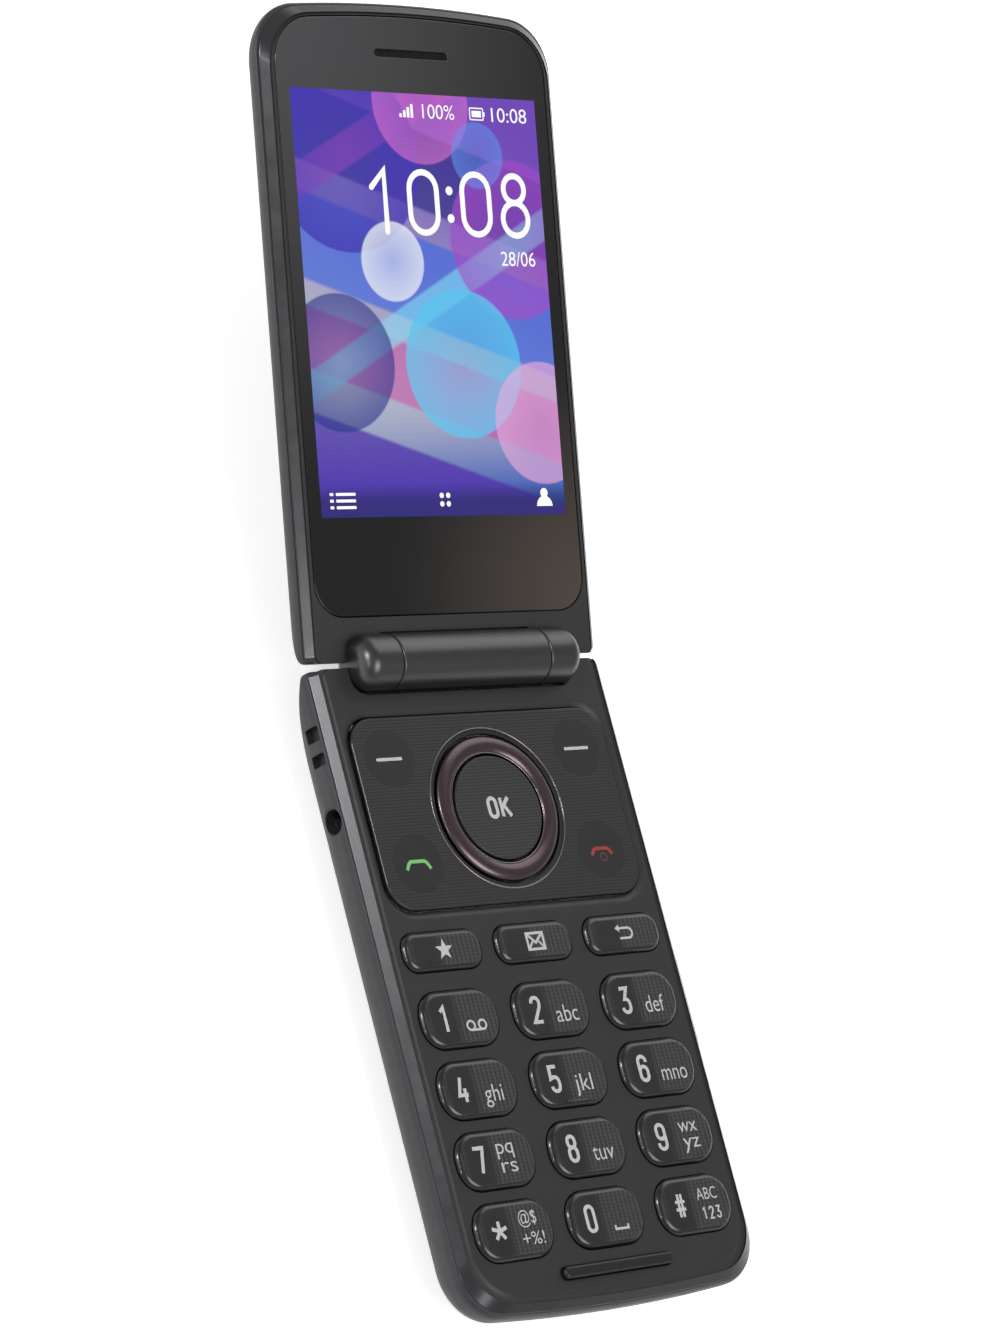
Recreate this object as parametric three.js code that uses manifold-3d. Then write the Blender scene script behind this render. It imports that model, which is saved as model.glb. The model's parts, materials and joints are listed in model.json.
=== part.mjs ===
// Flip phone with a hinged lid, opened and lying on its back. Millimetres, +Z up, +Y towards the lid.
// The origin is the middle of the flat back face of the base.
// Each half is described from its face: depths run from the face into the half, and distances run
// from the hinge axis to the far end of the half.

import * as THREE from 'three';
import { mergeVertices } from 'three/addons/utils/BufferGeometryUtils.js';
import Module from 'manifold-3d';

const wasm = await Module();
wasm.setup();

// Fits shared by all pieces
const slidingGap = 0.25;
const seatGap = 0.3;
const seamGap = 0.1;
const overrun = 0.5;
const arcSteps = 4;
const smallArcSteps = 3;
const roundSides = 24;
const smallSides = 6;
const bossSides = 12;
const quarterTurn = 90;

// Opened lid: its rise above the base in degrees
const openRise = 15.45;

// Base shell
const baseLength = 101;
const baseHalfWidth = 29.5;
const baseThickness = 10.8;
const baseCorner = 7.5;
const baseEndArch = 1.4;
const baseFaceInset = 1.75;
const baseStripDepth = 1.2;
const baseStripInset = 0.55;
const baseFullDepth = 2.4;
const baseBellyStart = 3.4;
const baseBellyRun = 10;
const baseHeelStart = 2;
const baseHeelRun = 16;
const baseWall = 1.5;
const rearCaseSteps = 4;
const coverSteps = 6;
const coverWall = 1.1;
const coverTop = 6.9;

// Lid shell
const lidLength = 101.1;
const lidSideStep = 0.1;
const lidHalfWidth = baseHalfWidth - lidSideStep;
const lidThickness = 6.9;
const lidCorner = 8.5;
const lidEndArch = 1.6;
const lidFaceInset = 1.6;
const lidStripDepth = 1.25;
const lidStripInset = 0.5;
const lidFullDepth = 1.7;
const lidBellyStart = 1.9;
const lidBellyRun = 8;
const lidHeelStart = 1.7;
const lidHeelRun = 10;
const lidWall = 1.3;
const lidFloorWall = 1.2;
const lidSteps = 7;
const roomSteps = 4;

// Hinge
const endGap = 0.3;
const nearCorner = 1.2;
const nearCornerStart = 2.5;
const nearCornerGrowthShare = 1.8;
const barrelRadius = 4.4;
const barrelClearance = 0.4;
const barrelSideMargin = 7.6;
const barrelHalfLength = baseHalfWidth - barrelSideMargin;
const knuckleLength = 7.3;
const barrelMiddleHalf = barrelHalfLength - knuckleLength;
const barrelEdge = 1.1;
const axisAboveKeypad = 0.5;
const axisAboveScreen = 0.775;
const barrelBore = 3;
const knuckleBore = 2.4;
const knuckleEndWall = 1.5;
const hingeRoom = 6.6;
const canWall = 0.45;
const canLength = barrelMiddleHalf - 2 * seatGap;
const cannedShaftLength = 3.4;
const shaftPlay = 0.25;
const springRadius = 1.55;
const springWire = 0.5;
const springTurns = 5;
const springStepsPerTurn = 7;
const springSides = 4;
const flexRollWall = 0.6;
const flexRollInner = 3.6;
const flexRollLength = barrelMiddleHalf - flexRollInner;

// Keys
// The panel, the shortcut keys and the number keys share the length between two margins
const panelNear = 8.4;
const keysEndMargin = 8.67;
const panelKeyGap = 3.38;
const shortcutGap = 3.13;
const rowGap = 1.96;
const panelLengthShare = 0.42355;
const shortcutHeightShare = 0.08443;
const numberRows = 4;
const sharedLength = baseLength - keysEndMargin - panelNear - panelKeyGap - shortcutGap
	- ( numberRows - 1 ) * rowGap;
const panelFar = panelNear + panelLengthShare * sharedLength;
const shortcutKeyHalfHeight = shortcutHeightShare * sharedLength / 2;
const shortcutRow = panelFar + panelKeyGap + shortcutKeyHalfHeight;
const numberKeyHalfHeight = ( 1 - panelLengthShare - shortcutHeightShare ) * sharedLength / numberRows / 2;
const numberRow = shortcutRow + shortcutKeyHalfHeight + shortcutGap + numberKeyHalfHeight;
const rowPitch = 2 * numberKeyHalfHeight + rowGap;
const numberKeyFlat = 0.5;
const numberKeyCorner = numberKeyHalfHeight - numberKeyFlat;
const shortcutKeyFlat = 0.42;
const shortcutKeyCorner = shortcutKeyHalfHeight - shortcutKeyFlat;
const keySideMargin = 4.13;
const keyColumnGap = 3.11;
const halfKeysEachSide = 3;
const numberKeyHalfWidth = ( baseHalfWidth - keySideMargin - keyColumnGap ) / halfKeysEachSide;
const keyColumn = 2 * numberKeyHalfWidth + keyColumnGap;
const shortcutKeyWiden = 0.13;
const shortcutKeyHalfWidth = numberKeyHalfWidth + shortcutKeyWiden;
const keyProud = 0.75;
const keyShoulder = 0.4;
const keyEdge = 0.5;
const keyFlange = 0.55;
const keyTravel = 0.3;
const flangeTop = 1.5;
const flangeBottom = 2.1;
const nubRadius = 1.3;
const nubBottom = 2.45;

// Function panel with its ring and centre key
const panelSideMargin = 4.4;
const panelHalfWidth = baseHalfWidth - panelSideMargin;
const panelCorner = 4.6;
const panelProud = 0.2;
const panelEdge = 0.4;
const panelBottom = 0.5;
const panelSeatDepth = 0.8;
const panelSlabBottom = 1.4;
const panelSlabMargin = 1.6;
const dishMargin = 1.5;
const dishDepth = 0.45;
const softKeySideMargin = 6.4;
const softKeyX = panelHalfWidth - softKeySideMargin;
const softKeyMargin = 6.7;
const softKeyRow = panelNear + softKeyMargin;
const callKeySideMargin = 6.8;
const callKeyX = panelHalfWidth - callKeySideMargin;
const callKeyMargin = 7.1;
const callKeyRow = panelFar - callKeyMargin;
const ringShift = 0.2;
const ringCentre = ( panelNear + panelFar ) / 2 + ringShift;
const ringMargin = 3.6;
const ringSideMargin = 13.55;
const ringOuter = Math.min( ( panelFar - panelNear ) / 2 - ringMargin, panelHalfWidth - ringSideMargin );
const ringWidth = 2.8;
const ringInner = ringOuter - ringWidth;
const ringProud = 0.7;
const ringFlangeTop = 1.6;
const ringFlange = 0.65;
const ringFlangeRadius = ringOuter + ringFlange;
const moatWidth = 1.2;
const moatOuter = ringOuter + moatWidth;
const moatDepth = 0.6;
const ringSeam = 0.45;
const panelHole = ringOuter + ringSeam;
const okRadius = ringInner - ringSeam;
const okProud = 0.5;
const okDish = 0.2;
const okEdge = 0.45;
const carrierTop = 2.35;
const carrierBottom = 2.5;
const ringRoom = ringFlangeRadius + seatGap;

// Closing bumper below the keys
const bumperEndMargin = 5.7;
const bumperRow = baseLength - bumperEndMargin;
const bumperHalfLength = 10.9;
const bumperHalfHeight = 0.9;
const bumperProud = 1;
const bumperSeat = 0.7;
const bumperClearance = 0.12;
const bumperCrown = 0.35;

// Boards and inner pieces of the base
const domeSheetTop = 3;
const domeSheetBottom = 3.2;
const domeSheetEndMargin = 7.6;
const domeSheetFar = baseLength - domeSheetEndMargin;
const domeSheetMargin = 4;
const domeRadius = 2.2;
const domeTopRadius = 1.2;
const domeHeight = 0.22;
const boardTop = 3.5;
const boardBottom = 4.5;
const boardMargin = 0.9;
const floorTop = 4.8;
const floorBottom = 5.6;
const bossSideMargin = 7;
const bossX = baseHalfWidth - bossSideMargin;
const bossNear = 9.2;
const bossFarSideMargin = 7.2;
const bossFarX = baseHalfWidth - bossFarSideMargin;
const bossEndMargin = 5.9;
const bossFar = baseLength - bossEndMargin;
const bossRadius = 1.7;
const screwHole = 1;
const screwShank = 0.75;
const screwHead = 1.45;
const screwHeadHeight = 0.9;
const screwTip = 2.2;
const screwDrive = 0.45;
const screwDriveDepth = 0.5;
const shieldNear = 12;
const shieldFar = 33;
const shieldLeftMargin = 20.5;
const shieldRightMargin = 10.5;
const shieldLeft = shieldLeftMargin - baseHalfWidth;
const shieldRight = baseHalfWidth - shieldRightMargin;
const shieldBottom = 6.4;
const shieldWall = 0.3;
const shieldCorner = 1;
const batteryGap = 2;
const batteryNear = shieldFar + batteryGap;
const batteryEndMargin = 18.5;
const batteryFar = baseLength - batteryEndMargin;
const batterySideMargin = 6;
const batteryHalfWidth = baseHalfWidth - batterySideMargin;
const batteryBottom = 9.35;
const batteryCorner = 1.5;
const speakerHalfWidth = 8;
const speakerGap = 1.5;
const speakerNear = batteryFar + speakerGap;
const speakerLength = 9;
const speakerFar = speakerNear + speakerLength;
const speakerBottom = 9.2;
const speakerCorner = 2;
const grilleSlots = 5;
const grillePitch = 2.6;
const grilleHalfWidth = 0.6;
const grilleHalfLength = 2.8;
const grilleShift = 3;
const grilleRow = speakerNear + grilleShift;
const motorRadius = 4;
const motorGap = 2.6;
const motorX = speakerHalfWidth + motorGap + motorRadius;
const motorShift = 5;
const motorRow = speakerNear + motorShift;
const motorBottom = 8.6;
const microphoneX = 14;
const microphoneEndMargin = 4;
const microphoneRow = baseLength - microphoneEndMargin;
const microphoneHalf = 1.6;
const microphoneTop = 2.2;
const microphoneHole = 0.5;

// Sockets and openings in the sides of the base
const jackRow = 23.2;
const jackDepth = 3.4;
const jackHole = 1.9;
const jackBore = 1.75;
const jackHalfWidth = 2.7;
const jackHalfHeight = 2.2;
const jackLength = 13.3;
const jackBoreLength = 12.3;
const usbRow = 28;
const usbDepth = 3.4;
const usbHalfWidth = 4.5;
const usbHalfHeight = 1.6;
const usbLength = 7.2;
const usbWall = 0.35;
const usbCorner = 1.4;
const usbTongueHalf = 0.35;
const usbTongueLength = 5;
const eyeNear = 8.6;
const eyeWidth = 2.3;
const eyeBar = 1.9;
const eyeSecondWidth = 1.9;
const eyeTop = 1.6;
const eyeBottom = 4.4;
const rockerShift = 0.35;
const rockerRow = numberRow + rockerShift;
const rockerHalfLength = 8;
const rockerTop = 2;
const rockerBottom = 4.6;
const rockerProud = 0.6;
const rockerCorner = 0.9;
const rockerFlange = 0.6;
const rockerFlangeThickness = 0.6;
const rockerPlay = 0.35;
const switchHalfLength = 2;
const switchDepth = 1.2;
const switchTop = flangeBottom + keyTravel + seatGap;
const switchSideMargin = 4.3;
const switchX = baseHalfWidth - switchSideMargin;

// Main display in the lid
const windowSideMargin = 2.6;
const windowHalfWidth = lidHalfWidth - windowSideMargin;
const windowNear = 7.15;
const windowEndMargin = 2.25;
const windowFar = lidLength - windowEndMargin;
const windowNearCorner = 5.2;
const windowFarCorner = 7.5;
const windowArch = 1.5;
const windowTop = 0.03;
const windowBottom = 0.83;
const windowClearance = 0.15;
const windowSeat = 0.95;
const lcdSideMargin = 0.8;
const lcdHalfWidth = windowHalfWidth - lcdSideMargin;
const lcdNear = 18.3;
const lcdEndMargin = 8.95;
const lcdFar = windowFar - lcdEndMargin;
const lcdTop = 1.1;
const lcdBottom = 2.9;
const lcdCorner = 0.8;
const earSlotEndMargin = 5.65;
const earSlotRow = windowFar - earSlotEndMargin;
const earSlotHalfLength = 7.3;
const earSlotHalfHeight = 0.62;
const earMeshTop = 0.35;
const earMeshBottom = 0.6;
const receiverHalfWidth = 7.9;
const receiverGap = 1.4;
const receiverNear = lcdFar + receiverGap;
const receiverLength = 5.8;
const receiverFar = receiverNear + receiverLength;
const receiverTop = 1.25;
const receiverBottom = 3.1;
const receiverCorner = 1.5;
const innerFrameInset = 2.2;
const innerFrameBottom = 3.1;
const innerFrameNear = 6.9;
const innerFrameCorner = 5;

// Back of the lid
const lidBoardTop = 3.4;
const lidBoardBottom = 4.2;
const lidBoardSideMargin = 4.9;
const lidBoardHalfWidth = lidHalfWidth - lidBoardSideMargin;
const lidBoardNear = 12;
const lidBoardEndMargin = 6.1;
const lidBoardFar = lidLength - lidBoardEndMargin;
const lidBoardCorner = 3;
const outerWindowHalfWidth = 15.5;
const cameraEndMargin = 15.1;
const cameraRow = lidLength - cameraEndMargin;
const outerWindowGap = 10;
const outerWindowLength = 36;
const outerWindowFar = cameraRow - outerWindowGap;
const outerWindowNear = outerWindowFar - outerWindowLength;
const outerWindowCorner = 3;
const outerWindowThickness = 0.8;
const outerWindowLedge = 1.8;
const outerDisplayTop = 4.5;
const outerDisplayBottom = 5.8;
const cameraHalf = 4.2;
const cameraTop = 4.5;
const cameraBottom = 6;
const cameraLensRadius = 3.6;
const cameraLensTop = 6.3;
const cameraRingRadius = 5;
const cameraRingTop = 6.3;
const cameraRingProud = 0.35;
const flashX = 11;
const flashRadius = 1.6;
const flashTop = 5.9;
const magnetSideMargin = 9.4;
const magnetX = lidHalfWidth - magnetSideMargin;
const magnetEndMargin = 8.1;
const magnetRow = lidLength - magnetEndMargin;
const magnetHalfWidth = 2.5;
const magnetHalfHeight = 1.5;
const magnetTop = 4.5;
const magnetBottom = 5.5;

// The two halves, each with what its outline needs
const base = {
	side: -1, halfWidth: baseHalfWidth, length: baseLength, thickness: baseThickness,
	corner: baseCorner, arch: baseEndArch, faceInset: baseFaceInset, stripDepth: baseStripDepth,
	stripInset: baseStripInset, fullDepth: baseFullDepth, bellyStart: baseBellyStart,
	bellyRun: baseBellyRun, heelStart: baseHeelStart, heelRun: baseHeelRun,
};
const lid = {
	side: 1, halfWidth: lidHalfWidth, length: lidLength, thickness: lidThickness,
	corner: lidCorner, arch: lidEndArch, faceInset: lidFaceInset, stripDepth: lidStripDepth,
	stripInset: lidStripInset, fullDepth: lidFullDepth, bellyStart: lidBellyStart,
	bellyRun: lidBellyRun, heelStart: lidHeelStart, heelRun: lidHeelRun,
};

// Materials
const plastic = ( color, roughness = 0.6 ) => new THREE.MeshStandardMaterial( { color, roughness } );
const metal = ( color, roughness = 0.35 ) =>
	new THREE.MeshStandardMaterial( { color, roughness, metalness: 1 } );
const charcoal = plastic( 0x3a3a3e );
const darkCharcoal = plastic( 0x323236 );
const keyPlastic = plastic( 0x29292c );
const glossBlack = plastic( 0x0c0c0e, 0.1 );
const ringGloss = plastic( 0x2c2226, 0.2 );
const blackRubber = plastic( 0x222224, 0.8 );
const boardGreen = plastic( 0x1f4a32, 0.5 );
const amberFilm = plastic( 0xa86a26, 0.45 );
const paleFilm = plastic( 0xb9bcc0, 0.5 );
const brightSteel = metal( 0xb8babd );
const goldMetal = metal( 0xc8a560 );
const batteryWrap = plastic( 0x8b8f96, 0.4 );
const clearLens = plastic( 0xe6e4d6, 0.2 );

// Points of an arc about (x, y), both ends included
function arcPoints( x, y, radius, from, to, steps ) {

	const points = [];

	for ( let i = 0; i <= steps; i ++ ) {

		const angle = THREE.MathUtils.lerp( from, to, i / steps );
		points.push( new THREE.Vector2( x + radius * Math.cos( angle ), y + radius * Math.sin( angle ) ) );

	}

	return points;

}

// Counter-clockwise rounded rectangle between two corners
function roundedRectangle( x0, x1, y0, y1, radius, steps = arcSteps ) {

	const quarter = Math.PI / 2;

	return [
		...arcPoints( x1 - radius, y0 + radius, radius, - quarter, 0, steps ),
		...arcPoints( x1 - radius, y1 - radius, radius, 0, quarter, steps ),
		...arcPoints( x0 + radius, y1 - radius, radius, quarter, Math.PI, steps ),
		...arcPoints( x0 + radius, y0 + radius, radius, Math.PI, Math.PI + quarter, steps ),
	];

}

// Rounded rectangle of one half, from its distances, turned to that half's side of the hinge
function patch( half, x0, x1, near, far, radius, steps = arcSteps ) {

	return half.side > 0
		? roundedRectangle( x0, x1, near, far, radius, steps )
		: roundedRectangle( x0, x1, - far, - near, radius, steps );

}

// Straight sides, a square near end with rounded corners and an arched far end
function archedOutline( side, halfWidth, near, far, nearRadius, farRadius, arch ) {

	const nearCornerRadius = Math.min( nearRadius, halfWidth - seatGap );
	const archRadius = ( halfWidth * halfWidth + arch * arch ) / ( 2 * arch );
	const reach = halfWidth - farRadius;
	const rise = Math.sqrt( ( archRadius - farRadius ) ** 2 - reach ** 2 );
	const archCentre = far - archRadius;
	const turn = Math.atan2( rise, reach );
	const quarter = Math.PI / 2;
	const half = [
		...arcPoints( halfWidth - nearCornerRadius, near + nearCornerRadius, nearCornerRadius, - quarter, 0,
			arcSteps ),
		...arcPoints( reach, archCentre + rise, farRadius, 0, turn, arcSteps + 2 ),
		...arcPoints( 0, archCentre, archRadius, turn, quarter, arcSteps ).slice( 1 ),
	];
	const mirrored = half.slice( 0, - 1 ).reverse().map( ( p ) => new THREE.Vector2( - p.x, p.y ) );
	const points = [ ...half, ...mirrored ];

	return side > 0 ? points : points.map( ( p ) => new THREE.Vector2( p.x, - p.y ) ).reverse();

}

// Share of a quarter ellipse: how far a rounding that starts at one depth has run in at another
function roundingRun( depth, start, thickness, run ) {

	const share = Math.min( 1, Math.max( 0, ( depth - start ) / ( thickness - start ) ) );

	return run * ( 1 - Math.sqrt( 1 - share * share ) );

}

// Inset of a half's side at a depth: the strip's slope, then the full width, then the belly
function sideInset( half, depth ) {

	if ( depth <= half.stripDepth ) {

		return THREE.MathUtils.lerp( half.faceInset, half.stripInset, depth / half.stripDepth );

	}

	const shoulder = Math.max( 0, 1 - ( depth - half.stripDepth ) / ( half.fullDepth - half.stripDepth ) );

	return half.stripInset * shoulder * shoulder
		+ roundingRun( depth, half.bellyStart, half.thickness, half.bellyRun );

}

// Outer outline of a half at a depth
function outlineAt( half, depth ) {

	const inset = sideInset( half, depth );
	const heel = roundingRun( depth, half.heelStart, half.thickness, half.heelRun );

	return archedOutline( half.side, half.halfWidth - inset, endGap + heel, half.length - inset,
		nearCornerAt( depth ), half.corner, half.arch );

}

// Outline of the room inside a half at a depth, a wall within the belly, the heel and its corners
function roomAt( half, depth, wall ) {

	const inset = roundingRun( depth, half.bellyStart, half.thickness, half.bellyRun ) + wall;
	const heel = roundingRun( depth, half.heelStart, half.thickness, half.heelRun );
	const near = Math.max( hingeRoom, endGap + heel + 2 * wall );
	const corner = nearCornerAt( depth ) - Math.max( 0, near - endGap - heel - wall );

	return archedOutline( half.side, half.halfWidth - inset, near, half.length - inset,
		Math.max( nearCorner, corner ), half.corner - wall, half.arch );

}

// Radius of the outer corners by the hinge, which grows with depth
function nearCornerAt( depth ) {

	return nearCorner + nearCornerGrowthShare * Math.max( 0, depth - nearCornerStart );

}

// Closed geometry through outlines of equal count; each level is { z, points }, from low to high
function loft( levels ) {

	const count = levels[ 0 ].points.length;
	const positions = levels.flatMap( ( level ) => level.points.flatMap( ( p ) => [ p.x, p.y, level.z ] ) );
	const index = [];

	for ( let row = 0; row < levels.length - 1; row ++ ) {

		for ( let i = 0; i < count; i ++ ) {

			const a = row * count + i;
			const b = row * count + ( i + 1 ) % count;
			index.push( a, b, b + count, a, b + count, a + count );

		}

	}

	const top = ( levels.length - 1 ) * count;

	for ( const [ a, b, c ] of THREE.ShapeUtils.triangulateShape( levels[ 0 ].points, [] ) ) {

		index.push( a, c, b );

	}

	for ( const [ a, b, c ] of THREE.ShapeUtils.triangulateShape( levels.at( - 1 ).points, [] ) ) {

		index.push( top + a, top + b, top + c );

	}

	const geometry = new THREE.BufferGeometry();
	geometry.setAttribute( 'position', new THREE.Float32BufferAttribute( positions, 3 ) );
	geometry.setIndex( index );

	return geometry;

}

// Solid from a closed geometry
function solid( geometry ) {

	const plain = geometry.index && ! geometry.attributes.normal ? geometry : geometry.clone();
	plain.deleteAttribute( 'normal' );
	plain.deleteAttribute( 'uv' );
	const merged = mergeVertices( plain );
	const corners = merged.index.array;
	const kept = [];

	for ( let i = 0; i < corners.length; i += 3 ) {

		const [ a, b, c ] = [ corners[ i ], corners[ i + 1 ], corners[ i + 2 ] ];
		if ( a !== b && b !== c && c !== a ) kept.push( a, b, c );

	}

	return new wasm.Manifold( new wasm.Mesh( {
		numProp: 3,
		vertProperties: new Float32Array( merged.attributes.position.array ),
		triVerts: new Uint32Array( kept ),
	} ) );

}

// Slab of one outline between two depths
function slab( points, top, bottom ) {

	return solid( loft( [ { z: - bottom, points }, { z: - top, points } ] ) );

}

// Box of a half between two depths
function block( half, x0, x1, near, far, top, bottom ) {

	const [ y0, y1 ] = half.side > 0 ? [ near, far ] : [ - far, - near ];
	const geometry = new THREE.BoxGeometry( x1 - x0, y1 - y0, bottom - top );
	geometry.translate( ( x0 + x1 ) / 2, ( y0 + y1 ) / 2, - ( top + bottom ) / 2 );

	return solid( geometry );

}

// Round rod along X at a height over the face and a distance along Y
function rodX( radius, x0, x1, y, z, sides = roundSides ) {

	const geometry = new THREE.CylinderGeometry( radius, radius, Math.abs( x1 - x0 ), sides );
	geometry.rotateZ( Math.PI / 2 );
	geometry.translate( ( x0 + x1 ) / 2, y, z );

	return solid( geometry );

}

// Round rod along Z between two depths
function rodZ( radius, x, y, top, bottom, sides = roundSides, tipRadius = radius ) {

	const geometry = new THREE.CylinderGeometry( tipRadius, radius, bottom - top, sides );
	geometry.rotateX( Math.PI / 2 );
	geometry.translate( x, y, - ( top + bottom ) / 2 );

	return solid( geometry );

}

// Turned piece about a vertical axis; profile points are [ radius, height ], from low to high
function turned( profile, x, y, sides = roundSides ) {

	const points = profile.map( ( [ radius, height ] ) => new THREE.Vector2( radius, height ) );
	const geometry = new THREE.LatheGeometry( points, sides );
	geometry.rotateX( Math.PI / 2 );
	geometry.translate( x, y, 0 );

	return solid( geometry );

}

// Knuckle along X: square at its inner end, rounded at its outer end
function knuckle( radius, inner, outer, edge, z ) {

	const rim = arcPoints( radius - edge, outer - edge, edge, 0, Math.PI / 2, arcSteps );
	const points = [ new THREE.Vector2( 0, inner ), new THREE.Vector2( radius, inner ), ...rim,
		new THREE.Vector2( 0, outer ) ];
	const geometry = new THREE.LatheGeometry( points, roundSides );
	geometry.rotateZ( - Math.PI / 2 );
	geometry.translate( 0, 0, z );

	return solid( geometry );

}

// Same solid on the other side of the middle plane
function mirroredX( body ) {

	return body.mirror( [ 1, 0, 0 ] );

}

// All solids of a list as one
function joined( bodies ) {

	return bodies.reduce( ( sum, body ) => sum.add( body ) );

}

// First solid less all the others
function cut( body, ...tools ) {

	return tools.reduce( ( rest, tool ) => rest.subtract( tool ), body );

}

// Outer body of a half through a list of depths
function shell( half, depths ) {

	return stack( depths, ( depth ) => outlineAt( half, depth ) );

}

// Room inside a half through a list of depths
function room( half, depths, wall ) {

	return stack( depths, ( depth ) => roomAt( half, depth, wall ) );

}

// Solid through the outlines that a list of depths gives
function stack( depths, outlineOf ) {

	const levels = [ ...depths ].sort( ( a, b ) => b - a );

	return solid( loft( levels.map( ( depth ) => ( { z: - depth, points: outlineOf( depth ) } ) ) ) );

}

// Depths shared out between two limits
function depthsBetween( top, bottom, steps ) {

	return Array.from( { length: steps + 1 }, ( _, i ) => THREE.MathUtils.lerp( top, bottom, i / steps ) );

}

// Named mesh from a solid, put in a group
function place( group, name, body, material ) {

	const mesh = body.getMesh();
	const geometry = new THREE.BufferGeometry();
	const corners = new Float32Array( mesh.vertProperties );
	geometry.setAttribute( 'position', new THREE.BufferAttribute( corners, 3 ) );
	geometry.setIndex( new THREE.BufferAttribute( new Uint32Array( mesh.triVerts ), 1 ) );
	const piece = new THREE.Mesh( geometry, material );
	piece.name = name;
	group.add( piece );

}

const phone = new THREE.Group();
const flatBackMiddle = ( endGap + baseHeelRun + baseLength - baseBellyRun ) / 2;

const baseGroup = new THREE.Group();
baseGroup.position.set( 0, flatBackMiddle, baseThickness );
phone.add( baseGroup );

const lidTurn = new THREE.Group();
lidTurn.position.set( 0, flatBackMiddle, baseThickness + axisAboveKeypad );
lidTurn.rotation.x = THREE.MathUtils.degToRad( openRise );
phone.add( lidTurn );

const lidGroup = new THREE.Group();
lidGroup.position.z = - axisAboveScreen;
lidTurn.add( lidGroup );

const barrelRoom = barrelRadius + barrelClearance;
const baseAxis = axisAboveKeypad;
const lidAxis = axisAboveScreen;

// Places of the keys: columns from left to right, distances from the hinge axis
const keyColumns = [ - keyColumn, 0, keyColumn ];
const shortcutKeys = [ 'key_favourite', 'key_message', 'key_back' ];
const numberKeys = [
	[ 'key_1', 'key_2', 'key_3' ], [ 'key_4', 'key_5', 'key_6' ],
	[ 'key_7', 'key_8', 'key_9' ], [ 'key_star', 'key_0', 'key_hash' ],
];
const keys = [];

shortcutKeys.forEach( ( name, column ) => keys.push( {
	name, x: keyColumns[ column ], row: shortcutRow, halfWidth: shortcutKeyHalfWidth,
	halfHeight: shortcutKeyHalfHeight, corner: shortcutKeyCorner,
} ) );

numberKeys.forEach( ( names, row ) => names.forEach( ( name, column ) => keys.push( {
	name, x: keyColumns[ column ], row: numberRow + row * rowPitch, halfWidth: numberKeyHalfWidth,
	halfHeight: numberKeyHalfHeight, corner: numberKeyCorner,
} ) ) );

// Outline of a key, grown or drawn in all round
function keyOutline( key, grow ) {

	return patch( base, key.x - key.halfWidth - grow, key.x + key.halfWidth + grow,
		key.row - key.halfHeight - grow, key.row + key.halfHeight + grow, key.corner + grow, smallArcSteps );

}

// Outline of the function panel, grown all round
function panelOutline( grow ) {

	return patch( base, - panelHalfWidth - grow, panelHalfWidth + grow, panelNear - grow,
		panelFar + grow, panelCorner + grow );

}

const pressPoints = [
	[ - softKeyX, softKeyRow ], [ softKeyX, softKeyRow ],
	[ - callKeyX, callKeyRow ], [ callKeyX, callKeyRow ],
];
const bosses = [
	[ - bossX, bossNear ], [ bossX, bossNear ],
	[ - bossFarX, bossFar ], [ bossFarX, bossFar ],
];

// Room that the headphone socket takes under the keypad face
function jackRoom( top, bottom ) {

	const inner = - base.halfWidth + baseWall + jackLength + seatGap;

	return block( base, - base.halfWidth + baseWall, inner + seatGap, jackRow - jackHalfWidth - seatGap,
		jackRow + jackHalfWidth + seatGap, top, bottom );

}

// Room that the charging socket takes
function usbRoom( top, bottom ) {

	return block( base, base.halfWidth - baseWall - usbLength - seatGap, base.halfWidth - baseWall + seatGap,
		usbRow - usbHalfWidth - seatGap, usbRow + usbHalfWidth + seatGap, top, bottom );

}

// Keypad case: the face plate with its sloped strip, the middle of the hinge barrel and the bosses
function keypadFrontCase() {

	const plate = shell( base, [ 0, baseStripDepth ] );
	const panelSlab = slab( panelOutline( panelSlabMargin ), baseStripDepth - seamGap, panelSlabBottom );
	const barrel = rodX( barrelRadius, - barrelMiddleHalf, barrelMiddleHalf, 0, baseAxis );
	const posts = bosses.map( ( [ x, row ] ) =>
		rodZ( bossRadius, x, - row, baseStripDepth - seamGap, floorTop - seatGap, bossSides ) );
	const body = joined( [ plate, panelSlab, barrel, ...posts ] );
	const dish = solid( loft( [
		{ z: - dishDepth, points: panelOutline( slidingGap ) },
		{ z: 0, points: panelOutline( dishMargin ) },
		{ z: overrun, points: panelOutline( dishMargin ) },
	] ) );
	const sideRooms = [ - 1, 1 ].map( ( hand ) => rodX( barrelRoom, hand * barrelMiddleHalf,
		hand * ( barrelHalfLength + seatGap ), 0, baseAxis ) );
	const bumperSlot = slab( bumperOutline( bumperClearance ), - overrun, bumperSeat + bumperClearance );

	return cut( body,
		rodX( barrelBore, - barrelMiddleHalf - overrun, barrelMiddleHalf + overrun, 0, baseAxis ),
		...sideRooms,
		dish,
		slab( panelOutline( slidingGap ), - overrun, panelSeatDepth ),
		rodZ( ringRoom, 0, - ringCentre, - overrun, panelSlabBottom + overrun ),
		...pressPoints.map( ( [ x, row ] ) =>
			rodZ( nubRadius + slidingGap, x, - row, 0, panelSlabBottom + overrun, smallSides ) ),
		...keys.map( ( key ) => slab( keyOutline( key, slidingGap ), - overrun, baseStripDepth + overrun ) ),
		...bosses.map( ( [ x, row ] ) =>
			rodZ( screwHole, x, - row, screwTip - seatGap, floorTop, smallSides ) ),
		bumperSlot,
		jackRoom( jackDepth - jackHalfHeight - seatGap, floorTop ) );

}

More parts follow.
